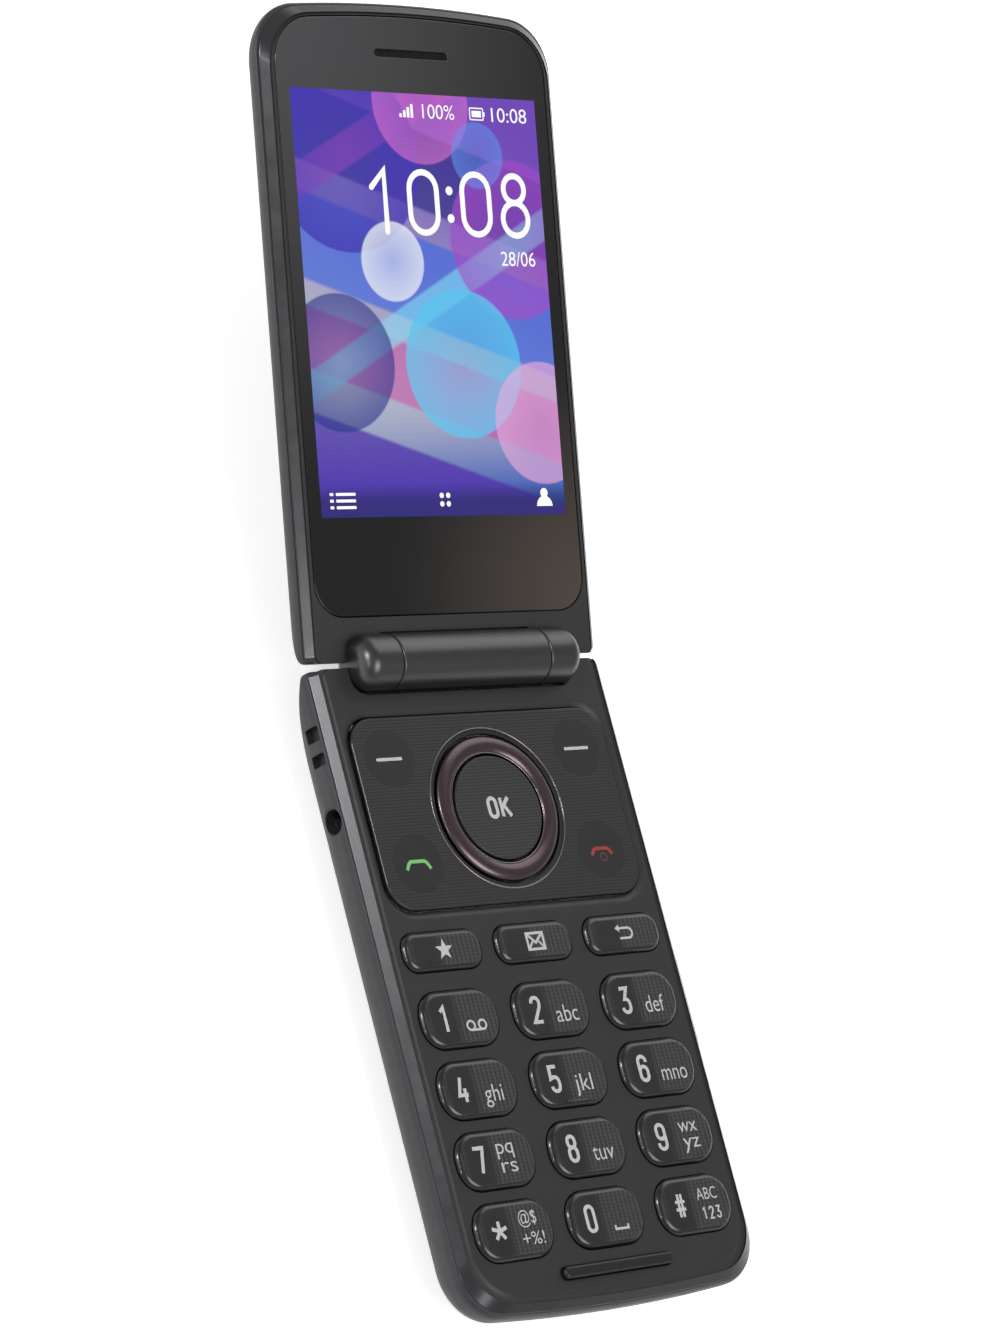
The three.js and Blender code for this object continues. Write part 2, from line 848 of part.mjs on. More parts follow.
// Outline of the bumper bar, grown all round
function bumperOutline( grow ) {

	return patch( base, - bumperHalfLength - grow, bumperHalfLength + grow,
		bumperRow - bumperHalfHeight - grow, bumperRow + bumperHalfHeight + grow, bumperHalfHeight + grow );

}

// Rear case: side walls, a floor under the board and the sockets' openings
function rearCase() {

	const top = baseStripDepth + seamGap;
	const bottom = coverTop - seamGap;
	const body = shell( base, [ top, ...depthsBetween( baseFullDepth, bottom, rearCaseSteps ) ] );
	const upper = room( base, [ top - overrun, base.bellyStart, floorTop ], baseWall );
	const lower = room( base, depthsBetween( floorBottom, bottom + overrun, 2 ), baseWall );
	const wallX = base.halfWidth - baseWall - overrun;
	const secondEye = eyeNear + eyeWidth + eyeBar;
	const eyes = [ [ eyeNear, eyeWidth ], [ secondEye, eyeSecondWidth ] ].map( ( [ near, width ] ) =>
		block( base, - base.halfWidth - overrun, - wallX, near, near + width, eyeTop, eyeBottom ) );
	const usbMouth = slab( roundedRectangle( - usbHalfHeight, usbHalfHeight, - usbHalfWidth, usbHalfWidth,
		usbCorner ), - base.halfWidth - overrun, - wallX )
		.rotate( [ 0, quarterTurn, 0 ] ).translate( [ 0, - usbRow, - usbDepth ] );
	const rockerSlot = block( base, wallX, base.halfWidth + overrun,
		rockerRow - rockerHalfLength - slidingGap, rockerRow + rockerHalfLength + slidingGap,
		rockerTop - slidingGap, rockerBottom + slidingGap );

	return cut( body, upper, lower,
		rodX( barrelRoom, - barrelHalfLength - seatGap, barrelHalfLength + seatGap, 0, baseAxis ),
		...eyes, usbMouth, rockerSlot,
		rodX( jackHole, - base.halfWidth - overrun, - wallX, - jackRow, - jackDepth, roundSides ),
		jackRoom( floorTop - overrun, floorBottom + overrun ),
		usbRoom( floorTop - overrun, floorBottom + overrun ),
		block( base, shieldLeft - seatGap, shieldRight + seatGap, shieldNear - seatGap, shieldFar + seatGap,
			floorTop - overrun, floorBottom + overrun ),
		...bosses.map( ( [ x, row ] ) => rodZ( screwHole, x, - row, floorTop - overrun, floorBottom + overrun,
			smallSides ) ),
		rodX( microphoneHole, 0, baseWall + 2 * overrun, 0, 0, smallSides ).rotate( [ 0, 0, quarterTurn ] )
			.translate( [ microphoneX, - base.length - overrun, - ( microphoneTop + boardTop ) / 2 ] ) );

}

// Battery cover: the boat-shaped back with the sound slots
function batteryCover() {

	const body = shell( base, depthsBetween( coverTop, base.thickness, coverSteps ) );
	const hollow = room( base, [ coverTop - overrun,
		...depthsBetween( coverTop, base.thickness - coverWall, roomSteps ) ], coverWall );
	const slots = Array.from( { length: grilleSlots }, ( _, i ) => {

		const x = ( i - ( grilleSlots - 1 ) / 2 ) * grillePitch;

		return slab( patch( base, x - grilleHalfWidth, x + grilleHalfWidth, grilleRow - grilleHalfLength,
			grilleRow + grilleHalfLength, grilleHalfWidth, smallArcSteps ),
		speakerBottom, base.thickness + overrun );

	} );

	return cut( body, hollow, ...slots );

}

// One key: flange and plunger below the plate, straight sides and a sloped edge above it
function keyCap( key ) {

	const cap = solid( loft( [
		{ z: - flangeTop - seamGap, points: keyOutline( key, 0 ) },
		{ z: keyShoulder, points: keyOutline( key, 0 ) },
		{ z: keyProud, points: keyOutline( key, - keyEdge ) },
	] ) );
	const flange = slab( keyOutline( key, keyFlange ), flangeTop, flangeBottom );
	const nub = rodZ( nubRadius, key.x, - key.row, flangeBottom - seamGap, nubBottom, smallSides );

	return joined( [ cap, flange, nub ] );

}

// Panel round the ring, with a plunger under each of its four press points
function functionPanel() {

	const plate = solid( loft( [
		{ z: - panelBottom, points: panelOutline( 0 ) },
		{ z: panelProud - panelEdge / 2, points: panelOutline( 0 ) },
		{ z: panelProud, points: panelOutline( - panelEdge ) },
	] ) );
	const nubs = pressPoints.map( ( [ x, row ] ) =>
		rodZ( nubRadius, x, - row, panelBottom - seamGap, nubBottom, smallSides ) );
	const moat = turned( [ [ 0, - moatDepth - overrun ], [ panelHole, - moatDepth - overrun ],
		[ panelHole, panelProud - moatDepth ], [ moatOuter, panelProud ], [ moatOuter, panelProud + overrun ],
		[ 0, panelProud + overrun ] ], 0, - ringCentre, roundSides + arcSteps );

	return cut( joined( [ plate, ...nubs ] ), moat );

}

// Ring that tilts four ways, domed between its rims, with a flange under the panel
function navRing() {

	const middle = ( ringInner + ringOuter ) / 2;
	const half = ( ringOuter - ringInner ) / 2;
	const crown = arcPoints( 0, 0, 1, 0, Math.PI, arcSteps + 2 ).map( ( p ) =>
		[ middle + half * p.x, ringProud * p.y ] );
	const profile = [ [ ringInner, - flangeBottom ], [ ringFlangeRadius, - flangeBottom ],
		[ ringFlangeRadius, - ringFlangeTop ], [ ringOuter, - ringFlangeTop ], ...crown,
		[ ringInner, - flangeBottom ] ];

	return turned( profile, 0, - ringCentre, roundSides + arcSteps );

}

// Carrier under the ring, pressed on two sides at a time
function ringCarrier() {

	return turned( [ [ ringInner, - carrierBottom ], [ ringFlangeRadius, - carrierBottom ],
		[ ringFlangeRadius, - carrierTop ], [ ringInner, - carrierTop ], [ ringInner, - carrierBottom ] ],
	0, - ringCentre );

}

// Centre key, slightly hollowed
function okKey() {

	return turned( [ [ 0, - nubBottom ], [ okRadius, - nubBottom ], [ okRadius, okProud - okEdge ],
		[ okRadius - okEdge, okProud ], [ okRadius / 2, okProud - okDish / 2 ], [ 0, okProud - okDish ] ],
	0, - ringCentre );

}

// Rubber bar that the lid closes on
function closingBumper() {

	return solid( loft( [
		{ z: - bumperSeat, points: bumperOutline( 0 ) },
		{ z: bumperProud - bumperCrown, points: bumperOutline( 0 ) },
		{ z: bumperProud, points: bumperOutline( - bumperCrown ) },
	] ) );

}

// Flat piece inside the base, cut back from the bosses, the two sockets and the volume switch
function baseSheet( points, top, bottom ) {

	return cut( slab( points, top, bottom ),
		jackRoom( top - overrun, bottom + overrun ),
		usbRoom( top - overrun, bottom + overrun ),
		block( base, switchX - seatGap, base.halfWidth, rockerRow - rockerHalfLength - rockerFlange - seatGap,
			rockerRow + rockerHalfLength + rockerFlange + seatGap, top - overrun, bottom + overrun ),
		...bosses.map( ( [ x, row ] ) =>
			rodZ( bossRadius + seatGap, x, - row, top - overrun, bottom + overrun, bossSides ) ) );

}

// Dome sheet: a film with a snap dome under each plunger
function domeSheet() {

	const film = baseSheet( patch( base, - keyColumn - numberKeyHalfWidth, keyColumn + numberKeyHalfWidth,
		hingeRoom + domeSheetMargin, domeSheetFar, bossRadius ), domeSheetTop, domeSheetBottom );
	const spots = [ ...keys.map( ( key ) => [ key.x, key.row ] ), ...pressPoints, [ 0, ringCentre ],
		...[ - 1, 1 ].flatMap( ( hand ) => [ [ 0, ringCentre + hand * ( ringInner + ringOuter ) / 2 ],
			[ hand * ( ringInner + ringOuter ) / 2, ringCentre ] ] ) ];
	const domes = spots.map( ( [ x, row ] ) => rodZ( domeRadius, x, - row, domeSheetTop - domeHeight,
		domeSheetTop + seamGap, smallSides, domeTopRadius ) );

	return joined( [ film, ...domes ] );

}

// Main board
function mainBoard() {

	const wall = baseWall + boardMargin;
	const outline = archedOutline( base.side, base.halfWidth - wall, hingeRoom + boardMargin,
		base.length - wall, nearCorner, base.corner - wall, base.arch );

	return baseSheet( outline, boardTop, boardBottom );

}

// Shielding can on the underside of the board, open at its foot
function rfShield() {

	const top = boardBottom + seatGap;
	const points = ( grow ) => patch( base, shieldLeft - grow, shieldRight + grow, shieldNear - grow,
		shieldFar + grow, shieldCorner + grow );

	return cut( slab( points( 0 ), top, shieldBottom ),
		slab( points( - shieldWall ), top - overrun, shieldBottom - shieldWall ) );

}

// Countersunk screw driven from the back into a boss
function caseScrew( x, row ) {

	const headTop = floorBottom + seamGap;

	return cut( joined( [
		rodZ( screwShank, x, - row, screwTip, headTop + seamGap, smallSides ),
		rodZ( screwHead, x, - row, headTop, headTop + screwHeadHeight, bossSides ),
	] ), rodZ( screwDrive, x, - row, headTop + screwHeadHeight - screwDriveDepth,
		headTop + screwHeadHeight + overrun, smallSides ) );

}

// Headphone socket with its bore open to the side
function headphoneJack() {

	const outer = - base.halfWidth + baseWall + seatGap;
	const body = block( base, outer, outer + jackLength, jackRow - jackHalfWidth, jackRow + jackHalfWidth,
		jackDepth - jackHalfHeight, jackDepth + jackHalfHeight );

	return cut( body, rodX( jackBore, outer - overrun, outer + jackBoreLength, - jackRow, - jackDepth ) );

}

// Charging socket: a flattened tube with a tongue inside
function usbPort() {

	const outer = base.halfWidth - baseWall;
	const inner = outer - usbLength;
	const height = usbHalfHeight;
	const sleeve = ( grow, x0, x1 ) => slab( roundedRectangle( - height - grow, height + grow,
		- usbHalfWidth - grow, usbHalfWidth + grow, usbCorner + grow ), - x1, - x0 )
		.rotate( [ 0, quarterTurn, 0 ] ).translate( [ 0, - usbRow, - usbDepth ] );
	const tongue = block( base, inner + usbWall / 2, inner + usbTongueLength,
		usbRow - usbHalfWidth + usbCorner, usbRow + usbHalfWidth - usbCorner,
		usbDepth - usbTongueHalf, usbDepth + usbTongueHalf );

	const tube = cut( sleeve( 0, inner, outer ), sleeve( - usbWall, inner + usbWall, outer + overrun ) );

	return tube.add( tongue );

}

// Volume rocker in the right side, with a flange behind the wall
function volumeRocker() {

	const outer = base.halfWidth + rockerProud;
	const inner = base.halfWidth - baseWall - seatGap - rockerPlay;
	const face = slab( roundedRectangle( rockerTop, rockerBottom, - rockerHalfLength, rockerHalfLength,
		rockerCorner ), - outer, - inner ).rotate( [ 0, quarterTurn, 0 ] ).translate( [ 0, - rockerRow, 0 ] );
	const bevel = rockerBevel( outer );
	const otherBevel = bevel.mirror( [ 0, 1, 0 ] ).translate( [ 0, - 2 * rockerRow, 0 ] );
	const flange = block( base, inner - rockerFlangeThickness, inner + seamGap,
		rockerRow - rockerHalfLength - rockerFlange, rockerRow + rockerHalfLength + rockerFlange,
		rockerTop - rockerFlange, rockerBottom );

	return cut( face, bevel, otherBevel ).add( flange );

}

// Wedge that slopes one end of the rocker back to the case
function rockerBevel( outer ) {

	const points = [ new THREE.Vector2( outer - rockerProud, - rockerRow - rockerHalfLength ),
		new THREE.Vector2( outer + overrun, - rockerRow - rockerHalfLength - overrun ),
		new THREE.Vector2( outer + overrun, - rockerRow - rockerHalfLength / 2 ),
		new THREE.Vector2( outer, - rockerRow - rockerHalfLength / 2 ) ];

	return slab( points, rockerTop - overrun, rockerBottom + overrun );

}

// Hinge spring: one unbroken tube along a helix
function hingeSpring( x0, x1, z ) {

	class Helix extends THREE.Curve {

		getPoint( t, target = new THREE.Vector3() ) {

			const angle = t * springTurns * 2 * Math.PI;

			return target.set( THREE.MathUtils.lerp( x0, x1, t ), springRadius * Math.cos( angle ),
				z + springRadius * Math.sin( angle ) );

		}

	}

	const rim = arcPoints( 0, 0, springWire / 2, 0, 2 * Math.PI, springSides );
	const section = new THREE.Shape( rim.slice( 0, - 1 ) );
	const geometry = new THREE.ExtrudeGeometry( section, {
		steps: springTurns * springStepsPerTurn, extrudePath: new Helix(), bevelEnabled: false,
	} );

	return solid( geometry );

}

// Pieces of the base
place( baseGroup, 'keypad_front_case', keypadFrontCase(), charcoal );
place( baseGroup, 'rear_case', rearCase(), darkCharcoal );
place( baseGroup, 'battery_cover', batteryCover(), darkCharcoal );
keys.forEach( ( key ) => place( baseGroup, key.name, keyCap( key ), keyPlastic ) );
place( baseGroup, 'function_panel', functionPanel(), keyPlastic );
place( baseGroup, 'nav_ring', navRing(), ringGloss );
place( baseGroup, 'nav_carrier', ringCarrier(), paleFilm );
place( baseGroup, 'ok_key', okKey(), keyPlastic );
place( baseGroup, 'closing_bumper', closingBumper(), blackRubber );
place( baseGroup, 'dome_sheet', domeSheet(), paleFilm );
place( baseGroup, 'main_board', mainBoard(), boardGreen );
place( baseGroup, 'rf_shield', rfShield(), brightSteel );
place( baseGroup, 'battery', slab( patch( base, - batteryHalfWidth, batteryHalfWidth, batteryNear, batteryFar,
	batteryCorner ), floorBottom + seatGap, batteryBottom ), batteryWrap );
place( baseGroup, 'loudspeaker', slab( patch( base, - speakerHalfWidth, speakerHalfWidth, speakerNear,
	speakerFar, speakerCorner ), floorBottom + seatGap, speakerBottom ), brightSteel );
place( baseGroup, 'vibration_motor', rodZ( motorRadius, motorX, - motorRow, floorBottom + seatGap,
	motorBottom, bossSides ), brightSteel );
place( baseGroup, 'microphone', block( base, microphoneX - microphoneHalf, microphoneX + microphoneHalf,
	microphoneRow - microphoneHalf, microphoneRow + microphoneHalf / 2, microphoneTop, boardTop - seatGap ),
goldMetal );
place( baseGroup, 'headphone_jack', headphoneJack(), glossBlack );
place( baseGroup, 'usb_port', usbPort(), brightSteel );
place( baseGroup, 'volume_rocker', volumeRocker(), keyPlastic );
place( baseGroup, 'volume_switch', block( base, switchX, switchX + switchDepth, rockerRow - switchHalfLength,
	rockerRow + switchHalfLength, switchTop, boardBottom ), goldMetal );
bosses.forEach( ( [ x, row ], i ) =>
	place( baseGroup, `case_screw_${ i + 1 }`, caseScrew( x, row ), brightSteel ) );

// Spring hinge in the right half of the barrel, rolled flex cable in the left half
const canRadius = barrelBore - slidingGap;
const canEnd = barrelMiddleHalf - seatGap;
const canStart = canEnd - canLength;
const shaftStart = canEnd - cannedShaftLength;
const knuckleStart = barrelMiddleHalf + seatGap;
const knuckleInnerEnd = barrelHalfLength - knuckleEndWall;
place( baseGroup, 'hinge_can', cut( rodX( canRadius, canStart, canEnd, 0, baseAxis ),
	rodX( canRadius - canWall, canStart + canWall, canEnd + overrun, 0, baseAxis ) ), brightSteel );
place( baseGroup, 'hinge_spring', hingeSpring( canStart + canWall + springWire, shaftStart - springWire,
	baseAxis ), brightSteel );
place( baseGroup, 'flex_roll', cut(
	rodX( canRadius, - canEnd, - canEnd + flexRollLength, 0, baseAxis ),
	rodX( canRadius - flexRollWall, - canEnd - overrun, - canEnd + flexRollLength + overrun, 0, baseAxis ) ),
amberFilm );

const shaftBody = joined( [
	rodX( canRadius - canWall - shaftPlay, shaftStart, canEnd, 0, lidAxis ),
	rodX( knuckleBore - shaftPlay, canEnd - seamGap, knuckleInnerEnd - seatGap, 0, lidAxis, smallSides ),
] );
place( lidGroup, 'hinge_shaft', shaftBody, brightSteel );
place( lidGroup, 'flex_tail', cut(
	rodX( knuckleBore - shaftPlay, - knuckleStart, - knuckleInnerEnd + seatGap, 0, lidAxis ),
	rodX( knuckleBore - shaftPlay - flexRollWall, - knuckleStart + overrun, - knuckleInnerEnd - overrun, 0,
		lidAxis ) ), amberFilm );

// Outline of the main window, grown all round
function windowOutline( grow ) {

	return archedOutline( lid.side, windowHalfWidth + grow, windowNear - grow, windowFar + grow,
		windowNearCorner + grow, windowFarCorner + grow, windowArch );

}

// Lid front case: the frame round the window, the inner frame and the two outer knuckles
function lidFrontCase() {

	const plate = shell( lid, [ 0, lidStripDepth ] );
	const frame = slab( archedOutline( lid.side, lid.halfWidth - innerFrameInset, innerFrameNear,
		lid.length - innerFrameInset, nearCorner, innerFrameCorner, lid.arch ),
	lidStripDepth - seamGap, innerFrameBottom );
	const outer = knuckle( barrelRadius, knuckleStart, barrelHalfLength, barrelEdge, lidAxis );
	const bore = rodX( knuckleBore, knuckleStart - overrun, knuckleInnerEnd, 0, lidAxis );
	const body = joined( [ plate, frame, outer, mirroredX( outer ) ] );

	return cut( body, bore, mirroredX( bore ),
		rodX( barrelRoom, - knuckleStart, knuckleStart, 0, lidAxis ),
		slab( windowOutline( windowClearance ), - overrun, windowSeat ),
		block( lid, - lcdHalfWidth - seatGap, lcdHalfWidth + seatGap, lcdNear - seatGap, lcdFar + seatGap,
			windowSeat - overrun, innerFrameBottom + overrun ),
		block( lid, - receiverHalfWidth - seatGap, receiverHalfWidth + seatGap, receiverNear - seatGap,
			receiverFar + seatGap, windowSeat - overrun, innerFrameBottom + overrun ) );

}

// Outline of the outer window, grown all round
function outerWindowOutline( grow ) {

	return patch( lid, - outerWindowHalfWidth - grow, outerWindowHalfWidth + grow, outerWindowNear - grow,
		outerWindowFar + grow, outerWindowCorner + grow );

}

// Lid rear cover: a shallow shell with seats for the outer window, the camera and its lamp
function lidRearCover() {

	const top = lidStripDepth + seamGap;
	const inside = lid.thickness - lidFloorWall;
	const body = shell( lid, [ top, ...depthsBetween( lidFullDepth, lid.thickness, lidSteps ) ] );
	const hollow = room( lid, [ top - overrun, ...depthsBetween( top, inside, roomSteps ) ], lidWall );
	const back = lid.thickness + overrun;

	return cut( body, hollow,
		rodX( barrelRoom, - barrelHalfLength - seatGap, barrelHalfLength + seatGap, 0, lidAxis ),
		slab( outerWindowOutline( windowClearance ),
			lid.thickness - outerWindowThickness - windowClearance, back ),
		slab( outerWindowOutline( - outerWindowLedge ), inside - overrun, back ),
		rodZ( cameraRingRadius + windowClearance, 0, cameraRow, cameraRingTop - windowClearance, back ),
		rodZ( cameraLensRadius, 0, cameraRow, inside - overrun, back ),
		rodZ( flashRadius + windowClearance, flashX, cameraRow, inside - overrun, back, bossSides ) );

}

// Pieces of the lid
place( lidGroup, 'lid_front_case', lidFrontCase(), charcoal );
place( lidGroup, 'lid_rear_cover', lidRearCover(), darkCharcoal );

const earSlot = ( grow ) => patch( lid, - earSlotHalfLength - grow, earSlotHalfLength + grow,
	earSlotRow - earSlotHalfHeight - grow, earSlotRow + earSlotHalfHeight + grow, earSlotHalfHeight + grow,
	smallArcSteps );
place( lidGroup, 'display_window', cut( slab( windowOutline( 0 ), windowTop, windowBottom ),
	slab( earSlot( 0 ), windowTop - overrun, windowBottom + overrun ) ), glossBlack );
place( lidGroup, 'earpiece_mesh', slab( earSlot( - windowClearance ), earMeshTop, earMeshBottom ),
	brightSteel );
place( lidGroup, 'lcd_panel', slab( patch( lid, - lcdHalfWidth, lcdHalfWidth, lcdNear, lcdFar, lcdCorner ),
	lcdTop, lcdBottom ), paleFilm );
place( lidGroup, 'earpiece_receiver', slab( patch( lid, - receiverHalfWidth, receiverHalfWidth, receiverNear,
	receiverFar, receiverCorner ), receiverTop, receiverBottom ), brightSteel );
place( lidGroup, 'lid_board', slab( patch( lid, - lidBoardHalfWidth, lidBoardHalfWidth, lidBoardNear,
	lidBoardFar, lidBoardCorner ), lidBoardTop, lidBoardBottom ), boardGreen );
place( lidGroup, 'outer_window', slab( outerWindowOutline( 0 ), lid.thickness - outerWindowThickness,
	lid.thickness - windowTop ), glossBlack );
place( lidGroup, 'outer_display', slab( outerWindowOutline( - outerWindowLedge - seatGap ), outerDisplayTop,
	outerDisplayBottom ), paleFilm );
place( lidGroup, 'camera_module', block( lid, - cameraHalf, cameraHalf, cameraRow - cameraHalf,
	cameraRow + cameraHalf, cameraTop, lid.thickness - lidFloorWall - seatGap / 2 ).add( rodZ(
	cameraLensRadius - seatGap, 0, cameraRow, cameraTop + seamGap, cameraBottom ) ), glossBlack );
place( lidGroup, 'camera_ring', cut( rodZ( cameraRingRadius, 0, cameraRow, cameraRingTop,
	lid.thickness + cameraRingProud ), rodZ( cameraLensRadius + windowClearance, 0, cameraRow,
	cameraRingTop - overrun, lid.thickness + cameraRingProud + overrun ) ), brightSteel );
place( lidGroup, 'camera_lens', rodZ( cameraLensRadius, 0, cameraRow, cameraLensTop, lid.thickness ),
	glossBlack );
place( lidGroup, 'flash_lens', rodZ( flashRadius, flashX, cameraRow, flashTop, lid.thickness, bossSides ),
	clearLens );
place( lidGroup, 'closing_magnet', block( lid, magnetX - magnetHalfWidth, magnetX + magnetHalfWidth,
	magnetRow - magnetHalfHeight, magnetRow + magnetHalfHeight, magnetTop, magnetBottom ), brightSteel );

export default phone;
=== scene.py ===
"""Looks of an opened flip phone that lies on its back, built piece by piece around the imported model.

Sizes are in millimetres. Each half is measured from its own face and from the hinge axis: a place is
(across, distance, depth), where depth runs from the face into the half. Half.matrix() puts it in the frame.
"""

import json
import logging
import math
from dataclasses import dataclass, field, replace
from enum import Enum
from functools import cache
from typing import Callable, Iterable, NamedTuple, Optional, Sequence

import bmesh
import bpy
from mathutils import Matrix, Vector
from mathutils.geometry import delaunay_2d_cdt


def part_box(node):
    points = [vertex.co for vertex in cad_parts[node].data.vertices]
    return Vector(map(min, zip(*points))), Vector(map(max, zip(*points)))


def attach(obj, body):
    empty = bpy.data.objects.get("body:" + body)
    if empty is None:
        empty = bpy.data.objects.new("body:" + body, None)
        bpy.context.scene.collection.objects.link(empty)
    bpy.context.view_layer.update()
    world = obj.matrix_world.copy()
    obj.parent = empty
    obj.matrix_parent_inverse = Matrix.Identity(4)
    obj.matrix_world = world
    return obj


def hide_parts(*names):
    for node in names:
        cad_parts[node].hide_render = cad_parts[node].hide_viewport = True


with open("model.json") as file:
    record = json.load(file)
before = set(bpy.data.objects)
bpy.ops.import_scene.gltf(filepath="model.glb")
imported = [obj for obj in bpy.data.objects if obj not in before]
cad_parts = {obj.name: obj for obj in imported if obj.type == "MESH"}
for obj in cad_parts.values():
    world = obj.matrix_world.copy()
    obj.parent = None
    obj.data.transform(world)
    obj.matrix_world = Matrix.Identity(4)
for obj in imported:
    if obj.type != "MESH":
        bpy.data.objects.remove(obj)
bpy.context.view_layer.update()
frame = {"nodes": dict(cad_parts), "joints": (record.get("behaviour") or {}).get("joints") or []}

LOG = logging.getLogger("flip_phone")

Point = tuple[float, float]
Place = tuple[float, float, float]
Outline = list[Point]
Socket = bpy.types.NodeSocket
Profile = Sequence[Point]
Grown = Callable[[float], Outline]
Levels = list[tuple[Outline, float]]

MM = 0.001
HINGE = next(joint for joint in frame["joints"] if joint["name"] == "lid_hinge")
OPEN_RISE = 180 - HINGE["range_deg"][1]
SEAM = 0.1
OVERRUN = 0.5
MERGE = 0.0005
CLOSE = 0.00001
SHARP_ANGLE = 32


class Axis(Enum):
    """Direction in which a stack or a turned piece runs: its index in a place."""

    ACROSS = 0
    DISTANCE = 1
    DEPTH = 2

    def place(self, point: Point, level: float) -> Place:
        """Place of an outline's point that lies at a level of this direction."""
        return (*point[:self.value], level, *point[self.value:])


def arc(x: float, y: float, radius: float, start: float, end: float, steps: int) -> Outline:
    """Points of an arc round a centre between two angles in degrees, both ends included."""
    angles = [math.radians(start + (end - start) * i / steps) for i in range(steps + 1)]
    return [(x + radius * math.cos(a), y + radius * math.sin(a)) for a in angles]


def rounded(x0: float, x1: float, y0: float, y1: float, radius: float, steps: int = 10) -> Outline:
    """Counter-clockwise rounded rectangle between two corners.

    Args:
        x0, x1, y0, y1: Its limits.
        radius: Corner radius.
        steps: Steps in each corner.

    Returns:
        The outline.
    """
    corners = [(x1, y0, -90), (x1, y1, 0), (x0, y1, 90), (x0, y0, 180)]
    points: Outline = []
    for x, y, start in corners:
        centre_x = x - math.copysign(radius, x - (x0 + x1) / 2)
        centre_y = y - math.copysign(radius, y - (y0 + y1) / 2)
        points += arc(centre_x, centre_y, radius, start, start + 90, steps)
    return points


def circle(x: float, y: float, radius: float, steps: int = 96) -> Outline:
    """Counter-clockwise circle of a number of straight steps."""
    return arc(x, y, radius, 0, 360, steps)[:-1]


@dataclass(frozen=True)
class Oblong:
    """Rounded rectangle on a half's face, between two distances from the hinge."""

    half_width: float
    near: float
    far: float
    corner: float
    steps: int = 10
    across: float = 0.0

    def outline(self, grow: float) -> Outline:
        """Its outline, grown all round."""
        width = self.half_width + grow
        return rounded(self.across - width, self.across + width, self.near - grow, self.far + grow,
                       self.corner + grow, self.steps)


def encloses(outline: Outline, x: float, y: float) -> bool:
    """Whether an outline goes round a point."""
    crossings = 0
    for (x0, y0), (x1, y1) in zip(outline, outline[1:] + outline[:1]):
        if (y0 > y) != (y1 > y) and x < x0 + (y - y0) / (y1 - y0) * (x1 - x0):
            crossings += 1
    return crossings % 2 == 1


def pen_quads(points: Outline, width: float, closed: bool = False) -> list[Outline]:
    """Four-sided patches of a line drawn with a pen of a width, with mitred bends.

    Args:
        points: The line.
        width: Width of the pen.
        closed: Whether the line joins its own start.

    Returns:
        One patch for each stretch of the line.
    """
    pairs: list[tuple[Point, Point]] = []
    count = len(points)
    for i, point in enumerate(points):
        before = Vector(point) - Vector(points[i - 1]) if i or closed else None
        after = Vector(points[(i + 1) % count]) - Vector(point) if i < count - 1 or closed else None
        ways = [way.normalized() for way in (before, after) if way is not None and way.length > CLOSE]
        mean = sum(ways, Vector((0, 0))).normalized()
        reach = width / 2 / max(0.5, mean.dot(ways[0]))
        pairs.append(((point[0] - mean.y * reach, point[1] + mean.x * reach),
                      (point[0] + mean.y * reach, point[1] - mean.x * reach)))
    last = count if closed else count - 1
    return [[pairs[i][0], pairs[i][1], pairs[(i + 1) % count][1], pairs[(i + 1) % count][0]]
            for i in range(last)]


